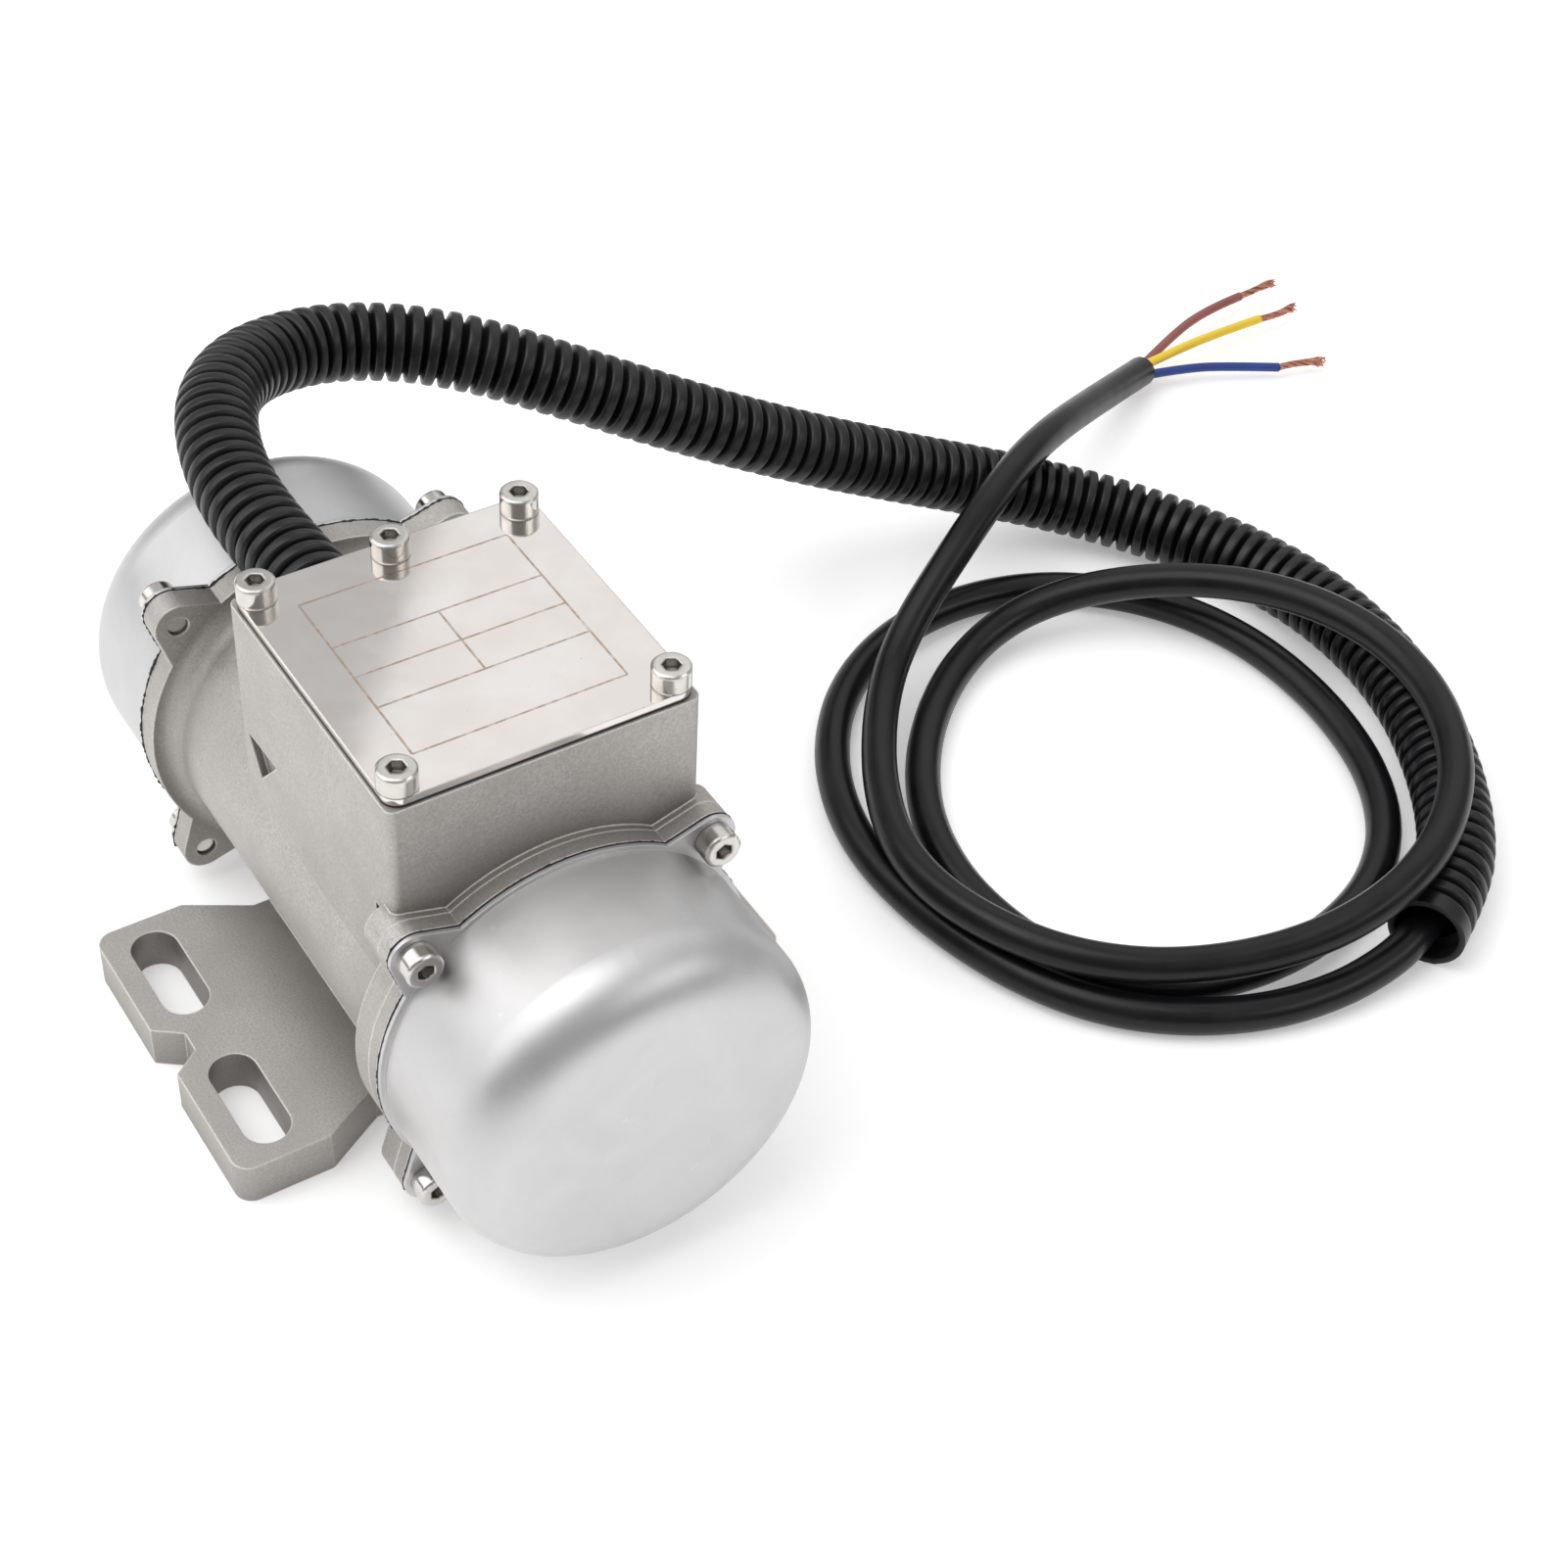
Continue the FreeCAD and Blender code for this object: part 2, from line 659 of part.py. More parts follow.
def make_screw(name, length):
    """Socket head cap screw along +Z, with its seat at its own origin."""
    head = doc.addObject("Part::Cylinder", name + "_head")
    head.setExpression("Radius", bound("screw_head_radius"))
    head.setExpression("Height", bound("screw_head_height - screw_head_chamfer"))
    rim = doc.addObject("Part::Cone", name + "_rim")
    rim.setExpression("Radius1", bound("screw_head_radius"))
    rim.setExpression("Radius2", bound("screw_head_radius - screw_head_chamfer"))
    rim.setExpression("Height", bound("screw_head_chamfer"))
    rim.setExpression("Placement.Base.z", bound("screw_head_height - screw_head_chamfer"))
    shank = doc.addObject("Part::Cylinder", name + "_shank")
    shank.setExpression("Radius", bound("screw_shank_radius"))
    shank.setExpression("Height", bound(length))
    shank.setExpression("Placement.Base.z", bound(f"-({length})"))
    blank = doc.addObject("Part::MultiFuse", name + "_blank")
    blank.Shapes = [head, rim, shank]
    socket = doc.addObject("Part::Prism", name + "_socket")
    socket.Polygon = 6
    socket.setExpression("Circumradius", bound("screw_socket_radius"))
    socket.setExpression("Height", bound("screw_socket_depth"))
    socket.setExpression("Placement.Base.z", bound("screw_head_height - screw_socket_depth"))
    screw = doc.addObject("Part::Cut", name)
    screw.Base = blank
    screw.Tool = socket
    return screw


def screw_group(label, screw, places_of_seats, rotation):
    """The same screw at each place, as one node of separate solids."""
    links = []
    for number, (x, y, z) in enumerate(places_of_seats, start=1):
        link = doc.addObject("App::Link", f"{label}_{number}")
        link.LinkedObject = screw
        link.Placement = Placement(Vector(), rotation)
        link.setExpression("Placement.Base.x", bound(x))
        link.setExpression("Placement.Base.y", bound(y))
        link.setExpression("Placement.Base.z", bound(z))
        links.append(link)
    group = doc.addObject("Part::Compound", label)
    group.Label = label
    group.Links = links
    return group


def make_screws():
    rear_length = "flange_thickness + gasket_thickness + sheet_thickness - screw_end_recess"
    ears = [(f"{y_side}ear_offset", f"axis_height {z_side} ear_offset")
            for y_side in ("-", "") for z_side in ("-", "+")]
    front = make_screw("front_cap_screw", f"{rear_length} + shield_thickness")
    rear = make_screw("rear_cap_screw", rear_length)
    cover = make_screw("cover_screw", "post_depth + gasket_thickness + cover_thickness")
    screw_group("front_cap_screws", front, [("lip_face", y, z) for y, z in ears],
                Rotation(Vector(0, 1, 0), 90))
    screw_group("rear_cap_screws", rear, [("-lip_face", y, z) for y, z in ears],
                Rotation(Vector(0, 1, 0), -90))
    screw_group("cover_screws", cover, [(x, y, "cover_top") for x, y in COVER_SCREW_PLACES],
                Rotation())
    earth = make_screw("earth_screw_master", "post_depth / 2")
    screw_group("earth_screw", earth, [(*EARTH_SCREW_PLACE, "box_floor")], Rotation())
    clamp = make_screw("clamp_screw", "2 * lug_half_width")
    for side, sign in (("front", ""), ("rear", "-")):
        for kind, middle in (("fixed", "weight_middle"), ("adjustable", "outer_weight_middle")):
            screw_group(f"{side}_{kind}_clamp_screw", clamp,
                        [(f"{sign}{middle}", "lug_half_width", "axis_height + clamp_screw_height")],
                        Rotation(Vector(1, 0, 0), -90))


# ---------------------------------------------------------------- junction box parts

def box_sheet(label, base, thickness, inset, corner, opening):
    """A flat piece of the box's outline with the five screw holes."""
    body = new_body(label)
    sheet = new_sketch(body, "sheet_outline", "XY_Plane", base)
    rounded_rectangle(sheet, f"-box_rear + {inset}", f"box_front - {inset}",
                      f"-box_half_width + {inset}", f"box_half_width - {inset}", corner)
    pad(body, "sheet", sheet, thickness)
    holes = new_sketch(body, "screw_circles", "XY_Plane", base)
    for x, y in COVER_SCREW_PLACES:
        circle(holes, "screw_shank_radius + screw_clearance", x, y)
    pocket(body, "screw_holes", holes, thickness, reverse=True)
    if opening:
        middle = new_sketch(body, "opening_outline", "XY_Plane", base)
        margin = "2 * cover_screw_inset"
        rounded_rectangle(middle, f"-box_rear + {margin}", f"box_front - {margin}",
                          f"-box_half_width + {margin}", f"box_half_width - {margin}",
                          "box_corner_radius")
        pocket(body, "opening", middle, thickness, reverse=True)


def make_conduit_adapter():
    body = new_body("conduit_adapter", y="-inlet_y", z="inlet_z")
    turned(body, "sleeve", [
        ("-box_rear", "adapter_bore_radius"),
        ("-box_rear", "adapter_radius"),
        ("-box_rear + box_wall + locknut_thickness", "adapter_radius"),
        ("-box_rear + box_wall + locknut_thickness", "adapter_bore_radius"),
    ])
    nut = new_body("conduit_locknut", y="-inlet_y", z="inlet_z")
    turned(nut, "nut", [
        ("-box_rear + box_wall", "adapter_radius"),
        ("-box_rear + box_wall", "locknut_radius"),
        ("-box_rear + box_wall + locknut_thickness", "locknut_radius"),
        ("-box_rear + box_wall + locknut_thickness", "adapter_radius"),
    ])


def make_box_contents():
    capacitor = new_body("capacitor", y="box_half_width - box_wall - capacitor_radius",
                         z="box_floor + capacitor_radius")
    turned(capacitor, "can", [
        ("0", "0"),
        ("0", "capacitor_radius - shaft_chamfer"),
        ("shaft_chamfer", "capacitor_radius"),
        ("capacitor_length - shaft_chamfer", "capacitor_radius"),
        ("capacitor_length", "capacitor_radius - shaft_chamfer"),
        ("capacitor_length", "0"),
    ])
    terminal = new_body("terminal_block", x="terminal_start", y="-terminal_width", z="box_floor")
    base = new_sketch(terminal, "block_outline", "XY_Plane")
    outline(base, [
        ("0", "-terminal_width / 2"),
        ("terminal_length", "-terminal_width / 2"),
        ("terminal_length", "terminal_width / 2"),
        ("0", "terminal_width / 2"),
    ])
    pad(terminal, "block", base, "terminal_height")
    entries = new_sketch(terminal, "entry_circles", "XZ_Plane", "-terminal_width / 2")
    for number in (1, 3, 5):
        circle(entries, "screw_shank_radius / 2", f"terminal_length * {number} / 6",
               "terminal_height / 2")
    pocket(terminal, "entries", entries, "terminal_width", reverse=True)


# ---------------------------------------------------------------- stator

SLOT_PROFILE = [
    ("stator_slot_inner_radius", "-stator_slot_width / 2"),
    ("stator_slot_radius", "-stator_slot_width / 2"),
    ("stator_slot_radius", "stator_slot_width / 2"),
    ("stator_slot_inner_radius", "stator_slot_width / 2"),
]


def make_stator():
    core = new_body("stator_core", z="axis_height")
    ring = new_sketch(core, "ring_circles", offset="-core_half_length")
    circle(ring, "barrel_bore_radius")
    circle(ring, "air_gap_radius")
    pad(core, "ring", ring, "2 * core_half_length")
    slot = new_sketch(core, "slot_profile", offset="-core_half_length")
    outline(slot, SLOT_PROFILE)
    cut = pocket(core, "slot", slot, "2 * core_half_length", reverse=True)
    around(core, "slots", [cut], "slot_count")

    windings = new_body("stator_windings", z="axis_height")
    for name, start in (("front_end_turn", "core_half_length"),
                        ("rear_end_turn", "-core_half_length - winding_overhang")):
        end_turn = new_sketch(windings, name + "_circles", offset=start)
        circle(end_turn, "winding_outer_radius")
        circle(end_turn, "winding_inner_radius")
        pad(windings, name, end_turn, "winding_overhang")
        if name == "front_end_turn":
            bar = new_sketch(windings, "bar_profile", offset="-core_half_length - winding_overhang / 2")
            outline(bar, SLOT_PROFILE)
            bar_pad = pad(windings, "bar", bar, "2 * core_half_length + winding_overhang")
            around(windings, "bars", [bar_pad], "slot_count")


# ---------------------------------------------------------------- rotor

def make_shaft():
    body = new_body("shaft", z="axis_height")
    turned(body, "bar", [
        ("-shaft_end", "0"),
        ("-shaft_end", "shaft_radius - shaft_chamfer"),
        ("-shaft_end + shaft_chamfer", "shaft_radius"),
        ("-rear_bearing_inside", "shaft_radius"),
        ("-rear_bearing_inside", "shaft_middle_radius"),
        ("front_bearing_inside", "shaft_middle_radius"),
        ("front_bearing_inside", "shaft_radius"),
        ("shaft_end - shaft_chamfer", "shaft_radius"),
        ("shaft_end", "shaft_radius - shaft_chamfer"),
        ("shaft_end", "0"),
    ])
    for side, sign in (("front", ""), ("rear", "-")):
        near = f"{sign}circlip_start"
        far = f"{sign}(circlip_start + circlip_thickness)"
        grooved(body, side + "_circlip_groove", [
            (near, "circlip_groove_radius"),
            (far, "circlip_groove_radius"),
            (far, "shaft_radius + shaft_chamfer"),
            (near, "shaft_radius + shaft_chamfer"),
        ])


def make_ring(label, start, end, inner, outer):
    """A plain ring about the shaft axis."""
    body = new_body(label, z="axis_height")
    turned(body, "ring", [(start, inner), (start, outer), (end, outer), (end, inner)])
    return body


def make_rotor_core():
    make_ring("rotor_core", "-core_half_length", "core_half_length", "shaft_middle_radius",
              "rotor_radius")
    make_ring("front_end_ring", "core_half_length", "core_half_length + end_ring_thickness",
              "end_ring_inner_radius", "rotor_radius")
    make_ring("rear_end_ring", "-core_half_length - end_ring_thickness", "-core_half_length",
              "end_ring_inner_radius", "rotor_radius")


def make_weight(label, start, boss_start, bore_radius):
    """Clamped sector weight that hangs down; a boss_start reaches back to the bearing."""
    body = new_body(label, z="axis_height")
    sector = new_sketch(body, "sector_profile", offset=start)
    rim_y = "weight_radius * sin(weight_half_angle * 1 deg)"
    rim_z = "-weight_radius * cos(weight_half_angle * 1 deg)"
    outline(sector, [
        ("0", "0"),
        (f"-{rim_y}", rim_z),
        ("0", "-weight_radius", "weight_radius"),
        (rim_y, rim_z, "weight_radius"),
    ])
    pad(body, "sector", sector, "weight_thickness")
    hub = new_sketch(body, "hub_circle", offset=start)
    circle(hub, "weight_hub_radius")
    pad(body, "hub", hub, "weight_thickness")
    lug = new_sketch(body, "lug_profile", offset=start)
    outline(lug, [
        ("-lug_half_width", "0"),
        ("lug_half_width", "0"),
        ("lug_half_width", "lug_height"),
        ("-lug_half_width", "lug_height"),
    ])
    pad(body, "lug", lug, "weight_thickness")
    if boss_start is not None:
        boss = new_sketch(body, "boss_circle", offset=boss_start[0])
        circle(boss, "inner_ring_radius")
        pad(body, "boss", boss, boss_start[1])
    bore = new_sketch(body, "bore_circle", offset="-shaft_end")
    circle(bore, bore_radius)
    pocket(body, "bore", bore, "2 * shaft_end", reverse=True)
    slit = new_sketch(body, "slit_profile", offset=start)
    outline(slit, [
        ("-clamp_slit_width / 2", "0"),
        ("clamp_slit_width / 2", "0"),
        ("clamp_slit_width / 2", "lug_height"),
        ("-clamp_slit_width / 2", "lug_height"),
    ])
    pocket(body, "slit", slit, "weight_thickness", reverse=True)
    screw_hole = new_sketch(body, "clamp_hole_circle", "XZ_Plane", "-lug_half_width")
    circle(screw_hole, "screw_shank_radius", f"{start} + weight_thickness / 2", "clamp_screw_height")
    pocket(body, "clamp_hole", screw_hole, "2 * lug_half_width", reverse=True)


def make_weights():
    make_weight("front_fixed_weight", "weight_start",
                ("shoulder_face", "weight_start - shoulder_face"), "shaft_radius")
    make_weight("rear_fixed_weight", "-weight_start - weight_thickness",
                ("-weight_start", "weight_start - rear_bearing_outside"), "shaft_radius")
    running = "shaft_radius + weight_running_clearance"
    make_weight("front_adjustable_weight", "outer_weight_start", None, running)
    make_weight("rear_adjustable_weight", "-outer_weight_start - weight_thickness", None, running)
    for side, sign in (("front", ""), ("rear", "-")):
        make_ring(f"{side}_circlip", f"{sign}circlip_start",
                  f"{sign}(circlip_start + circlip_thickness)", "circlip_groove_radius",
                  "circlip_radius")


# ---------------------------------------------------------------- ball bearings

def bearing_ring(label, inside, inner, outer, cut_from, cut_to):
    """One ring with its raceway turned into it. The race spans cut_from to cut_to in radius."""
    body = make_ring(label, inside, f"{inside} + bearing_width", inner, outer)
    centre = f"{inside} + bearing_width / 2"
    reach = "sqrt(raceway_radius * raceway_radius - (pitch_radius - {0}) * (pitch_radius - {0}))"
    half = reach.format(cut_from)
    deepest = f"pitch_radius {cut_to} raceway_radius"
    turn = "-raceway_radius" if cut_to == "+" else "raceway_radius"
    grooved(body, "raceway", [
        (f"{centre} - {half}", cut_from),
        (centre, deepest, turn),
        (f"{centre} + {half}", cut_from, turn),
    ])


def make_bearing(side, inside):
    bearing_ring(f"{side}_bearing_outer_ring", inside, "outer_ring_inner_radius", "bearing_radius",
                 "outer_ring_inner_radius", "+")
    bearing_ring(f"{side}_bearing_inner_ring", inside, "shaft_radius", "inner_ring_radius",
                 "inner_ring_radius", "-")
    cage = make_ring(f"{side}_bearing_cage", f"{inside} + (bearing_width - cage_width) / 2",
                     f"{inside} + (bearing_width + cage_width) / 2",
                     "pitch_radius - cage_half_thickness", "pitch_radius + cage_half_thickness")
    window = new_sketch(cage, "window_circle", "XY_Plane", "0")
    circle(window, "ball_radius + pocket_clearance", f"{inside} + bearing_width / 2")
    cut = pocket(cage, "window", window, "bearing_radius", reverse=True)
    around(cage, "windows", [cut], "ball_count")

    ball = doc.addObject("Part::Sphere", f"{side}_ball_master")
    ball.setExpression("Radius", bound("ball_radius"))
    links = []
    count = int(value("ball_count"))
    for number in range(count):
        link = doc.addObject("App::Link", f"{side}_ball_{number + 1}")
        link.LinkedObject = ball
        angle = f"(90 + 360 * {number} / ball_count) * 1 deg"
        link.setExpression("Placement.Base.x", bound(f"{inside} + bearing_width / 2"))
        link.setExpression("Placement.Base.y", bound(f"pitch_radius * cos({angle})"))
        link.setExpression("Placement.Base.z", bound(f"axis_height + pitch_radius * sin({angle})"))
        links.append(link)
    balls = doc.addObject("Part::Compound", f"{side}_bearing_balls")
    balls.Label = f"{side}_bearing_balls"
    balls.Links = links


# ---------------------------------------------------------------- cords

# Each route is a list of points along the middle of the cord, from the motor outwards.
CONDUIT_ROUTE = [
    (-15.7, -9.5, 82), (-30, -9.5, 82), (-44, -10.3, 82), (-58, -9.8, 82.2),
    (-72.3, -6.7, 82.4), (-86, -0.8, 81.2), (-96.9, 8.9, 78.1), (-102.9, 21, 74.8),
    (-102.9, 33.6, 72.8), (-98.1, 46.1, 71.1), (-91.2, 59.2, 67.6), (-84.1, 73.8, 61.2),
    (-77.9, 90, 53), (-72.7, 107.6, 43.9), (-68.3, 126.7, 34.5), (-64.2, 146.7, 25.4),
    (-59.6, 165.8, 17.5), (-53.1, 182.1, 11.6), (-43.3, 194.6, 8.5), (-29.9, 203.9, 7.9),
    (-14.4, 210.9, 7.9), (2.6, 215, 7.9), (21.2, 215.2, 7.9), (40.3, 211.1, 7.9),
    (58, 203.1, 7.9), (73.3, 193.3, 7.9), (84.3, 182.3, 7.9), (92, 168.5, 7.9),
]
CABLE_ROUTE = [
    (94.2, 157.2, 5), (93.6, 145.5, 4.2), (90.6, 131.6, 3.7), (84.2, 117, 3.7),
    (74.2, 104.5, 3.7), (60.7, 95.6, 3.7), (44.1, 89.8, 3.7), (26.3, 86.9, 3.7),
    (8.7, 88.1, 3.7), (-8.1, 94.2, 3.7), (-22.7, 104.6, 3.7), (-33.2, 118.2, 3.7),
    (-39, 133.8, 3.7), (-40.1, 150.2, 3.7), (-36, 166.1, 3.7), (-26.9, 179.9, 3.7),
    (-14.3, 190, 3.7), (-0.1, 196, 3.7), (15.4, 198.2, 3.7), (31.9, 197.2, 3.7), (48, 193, 3.7),
    (62.1, 185, 3.7), (72.8, 173.1, 3.7), (79.2, 157.7, 3.7), (81.1, 140, 3.7),
    (78, 123.1, 3.7), (69.7, 110.3, 3.7), (57.4, 102.9, 3.7), (43, 99.4, 3.7),
    (28.1, 99.4, 3.7), (12.5, 103.9, 3.7), (-2.6, 113.2, 3.7), (-15.3, 125.7, 3.7),
    (-23.8, 139, 4.6), (-26.8, 151.9, 7.2), (-24.3, 163.9, 10.7), (-18.3, 175.2, 14.1),
    (-9.9, 186, 17), (0.8, 196.1, 19), (14.4, 204.4, 19.9), (31, 208.5, 20.1),
    (49.2, 205.9, 20.1), (65.8, 196.9, 20.2), (78.3, 184, 20.3), (86.1, 169.4, 19.8),
    (88.2, 155.5, 16.8), (86.1, 141.7, 13.2), (81.1, 126.9, 11.1), (74.1, 112, 11.2),
    (63.7, 100.3, 11.4), (50.4, 92.7, 11.4), (36.3, 88.7, 11.4), (21.2, 90.1, 10.7),
    (4.3, 97.7, 9), (-10.1, 107.1, 8.6), (-19.7, 115.2, 9.7), (-25.7, 122.2, 12.4),
    (-30.1, 129.5, 16), (-34, 137.7, 20.1), (-38.5, 147.2, 24.1), (-44.3, 158.3, 27),
    (-51.6, 171.1, 27.3), (-60.3, 185.8, 23.9), (-70.2, 202.2, 17.6), (-80.1, 219.1, 10.9),
    (-89.2, 235.8, 5),
]
CORE_ROUTES = {
    "brown": [(-90.1, 235.1, 4.4), (-96.4, 249, 5), (-102.3, 265, 5), (-103.7, 278.2, 4.5)],
    "earth": [(-89.4, 236.2, 6.25), (-91, 249, 6.2), (-92.8, 262.8, 5.2), (-94, 276.7, 4)],
    "blue": [(-88.1, 236.2, 4.4), (-86, 248.3, 4), (-81.5, 259, 3.5), (-76.4, 269, 3)],
}
STRAND_ENDS = {
    "brown": [(-104.2, 284.7, 4.5), (-104.1, 290.1, 5.2)],
    "earth": [(-93, 282.1, 4), (-94.2, 288.9, 4)],
    "blue": [(-75.8, 276.2, 3), (-72.3, 281, 3)],
}
ARC_SHARE = 0.45
MOUTH_SETBACK = 0.5
MOUTH_REACH = 2
MOUTH_SAG = Vector(0, 0, 1.3)


def cord_path(label, route):
    """Straight runs joined by tangent arcs; prints the least radius and the length."""
    points = [Vector(*point) for point in route]
    edges = []
    start = points[0]
    radii = []
    for before, corner, after in zip(points, points[1:], points[2:]):
        back = before - corner
        ahead = after - corner
        turn = math.pi - back.getAngle(ahead)
        cut = ARC_SHARE * min(back.Length, ahead.Length)
        radii.append(cut / math.tan(turn / 2))
        first = corner + back.normalize() * cut
        last = corner + ahead.normalize() * cut
        middle_way = (back + ahead).normalize()
        middle = corner + middle_way * (radii[-1] / math.cos(turn / 2) - radii[-1])
        edges.append(Part.LineSegment(start, first).toShape())
        edges.append(Part.Arc(first, middle, last).toShape())
        start = last
    edges.append(Part.LineSegment(start, points[-1]).toShape())
    wire = Part.Wire(edges)
    least = min(radii) if radii else 0
    print(f"{label}: length {wire.Length:.1f}, least bend radius {least:.1f}")
    return wire


def tube(label, route, radius):
    wire = cord_path(label, route)
    heading = Vector(*route[1]) - Vector(*route[0])
    disc = Part.Wire(Part.Circle(Vector(*route[0]), heading, radius).toShape())
    solid = wire.makePipeShell([disc], True, False)
    expected = math.pi * radius * radius * wire.Length
    if abs(solid.Volume / expected - 1) > 0.01:
        raise RuntimeError(f"{label} has the wrong volume")
    return solid


def add_cord(label, shape):
    cord = doc.addObject("Part::Feature", label)
    cord.Label = label
    cord.Shape = shape
    cord.Placement = Placement()


def make_cords():
    conduit = tube("conduit", CONDUIT_ROUTE, value("conduit_radius"))
    mouth = Vector(*CONDUIT_ROUTE[-1])
    outwards = (mouth - Vector(*CONDUIT_ROUTE[-2])).normalize()
    depth = value("conduit_bore_depth")
    bottom = mouth - outwards * depth
    bore = Part.makeCylinder(value("conduit_bore_radius"), depth, bottom, outwards)
    add_cord("conduit", conduit.cut(bore))
    cable_start = [bottom + outwards * MOUTH_SETBACK, mouth + outwards * MOUTH_REACH - MOUTH_SAG]
    add_cord("cable", tube("cable", cable_start + CABLE_ROUTE, value("cable_radius")))
    strands = []
    for colour, route in CORE_ROUTES.items():
        add_cord(f"core_{colour}", tube(f"core_{colour}", route, value("core_wire_radius")))
        bare = [route[-1]] + STRAND_ENDS[colour]
        strands.append(tube(f"strands_{colour}", bare, value("strand_radius")))
    add_cord("bare_strands", Part.makeCompound(strands))


def make_winding_leads():
    """One sleeved bundle from the end turn up through the box floor to the terminal block."""
    x = value("core_half_length + winding_overhang / 2")
    low = value("axis_height + winding_outer_radius")
    high = value("box_floor + terminal_height / 2")
    side = value("-terminal_width")
    block_end = value("terminal_start + terminal_length")
    route = [(x, 0, low), (x, 0, high), (x, side, high), (block_end, side, high)]
    add_cord("winding_leads", tube("winding_leads", route, value("lead_radius")))


make_housing()
make_front_end_shield()
make_cap("front_cap")
turn_to_rear(make_cap("rear_cap"))
make_cap_gasket("front_cap_gasket")
turn_to_rear(make_cap_gasket("rear_cap_gasket"))
box_sheet("cover_gasket", "box_top", "gasket_thickness", "cover_inset", "cover_corner_radius", True)
box_sheet("cover_plate", "cover_base", "cover_thickness", "cover_inset", "cover_corner_radius", False)
make_screws()
make_conduit_adapter()
make_box_contents()
make_winding_leads()
make_stator()
make_shaft()
make_rotor_core()
make_weights()
make_bearing("front", "front_bearing_inside")
make_bearing("rear", "-rear_bearing_outside")
make_ring("wave_washer", "-shoulder_face", "-rear_bearing_outside", "shoulder_bore_radius",
          "bearing_radius")
make_cords()
doc.recompute()


# ---------------------------------------------------------------- check and write

NODES = [
    "housing", "front_end_shield", "front_cap", "rear_cap", "front_cap_gasket", "rear_cap_gasket",
    "cover_gasket", "cover_plate", "front_cap_screws", "rear_cap_screws", "cover_screws",
    "earth_screw", "conduit_adapter", "conduit_locknut", "capacitor", "terminal_block",
    "winding_leads", "stator_core", "stator_windings", "shaft", "rotor_core", "front_end_ring",
    "rear_end_ring", "front_fixed_weight", "rear_fixed_weight", "front_adjustable_weight",
    "rear_adjustable_weight", "front_fixed_clamp_screw", "rear_fixed_clamp_screw",
    "front_adjustable_clamp_screw", "rear_adjustable_clamp_screw", "front_circlip", "rear_circlip",
    "front_bearing_outer_ring", "front_bearing_inner_ring", "front_bearing_cage",
    "front_bearing_balls", "rear_bearing_outer_ring", "rear_bearing_inner_ring",
    "rear_bearing_cage", "rear_bearing_balls", "wave_washer", "conduit", "cable", "core_brown",
    "core_earth", "core_blue", "bare_strands",
]

for item in doc.Objects:
    if "Invalid" in item.State or "Error" in item.State:
        raise RuntimeError(f"{item.Name} did not compute: {item.State}")

os.makedirs("parts", exist_ok=True)
for node in NODES:
    shape = doc.getObjectsByLabel(node)[0].Shape
    if shape.isNull() or not shape.isValid():
        raise RuntimeError(f"{node} has no valid shape")
    shape.exportStep(f"parts/{node}.step")
print(f"{len(NODES)} parts written")
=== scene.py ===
import json
import math
import random

import bpy
from mathutils import Matrix, Vector


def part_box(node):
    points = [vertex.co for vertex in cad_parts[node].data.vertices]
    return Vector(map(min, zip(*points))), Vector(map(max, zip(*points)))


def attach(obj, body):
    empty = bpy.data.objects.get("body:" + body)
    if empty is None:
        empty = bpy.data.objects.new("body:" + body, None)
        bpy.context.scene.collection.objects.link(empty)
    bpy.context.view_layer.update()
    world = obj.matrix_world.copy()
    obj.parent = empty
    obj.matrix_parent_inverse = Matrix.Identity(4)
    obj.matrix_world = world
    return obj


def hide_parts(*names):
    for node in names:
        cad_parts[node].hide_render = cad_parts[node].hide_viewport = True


# Looks of the vibration motor. Metres, in the part's shared frame: shaft along X, front cap at +X and feet
# on z = 0.

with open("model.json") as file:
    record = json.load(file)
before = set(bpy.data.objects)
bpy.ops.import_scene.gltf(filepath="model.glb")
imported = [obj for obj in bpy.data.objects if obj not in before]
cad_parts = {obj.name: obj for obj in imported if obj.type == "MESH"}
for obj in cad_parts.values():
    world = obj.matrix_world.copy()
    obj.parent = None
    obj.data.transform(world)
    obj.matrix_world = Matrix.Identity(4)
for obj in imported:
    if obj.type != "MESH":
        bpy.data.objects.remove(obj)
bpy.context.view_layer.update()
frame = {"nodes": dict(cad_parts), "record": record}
NODES = frame["nodes"]

SHAFT_HEIGHT = 0.038
CONDUIT_DIAMETER = 0.0158
CABLE_DIAMETER = 0.0074
CORE_DIAMETER = 0.0022

CONDUIT_ROUTE = [
    (-0.0157, -0.0095, 0.082), (-0.03, -0.0095, 0.082), (-0.044, -0.0103, 0.082),
    (-0.058, -0.0098, 0.0822), (-0.0723, -0.0067, 0.0824), (-0.086, -0.0008, 0.0812),
    (-0.0969, 0.0089, 0.0781), (-0.1029, 0.021, 0.0748), (-0.1029, 0.0336, 0.0728),
    (-0.0981, 0.0461, 0.0711), (-0.0912, 0.0592, 0.0676), (-0.0841, 0.0738, 0.0612),
    (-0.0779, 0.09, 0.053), (-0.0727, 0.1076, 0.0439), (-0.0683, 0.1267, 0.0345),
    (-0.0642, 0.1467, 0.0254), (-0.0596, 0.1658, 0.0175), (-0.0531, 0.1821, 0.0116),
    (-0.0433, 0.1946, 0.0085), (-0.0299, 0.2039, 0.0079), (-0.0144, 0.2109, 0.0079),
    (0.0026, 0.215, 0.0079), (0.0212, 0.2152, 0.0079), (0.0403, 0.2111, 0.0079),
    (0.058, 0.2031, 0.0079), (0.0733, 0.1933, 0.0079), (0.0843, 0.1823, 0.0079),
    (0.092, 0.1685, 0.0079),
]
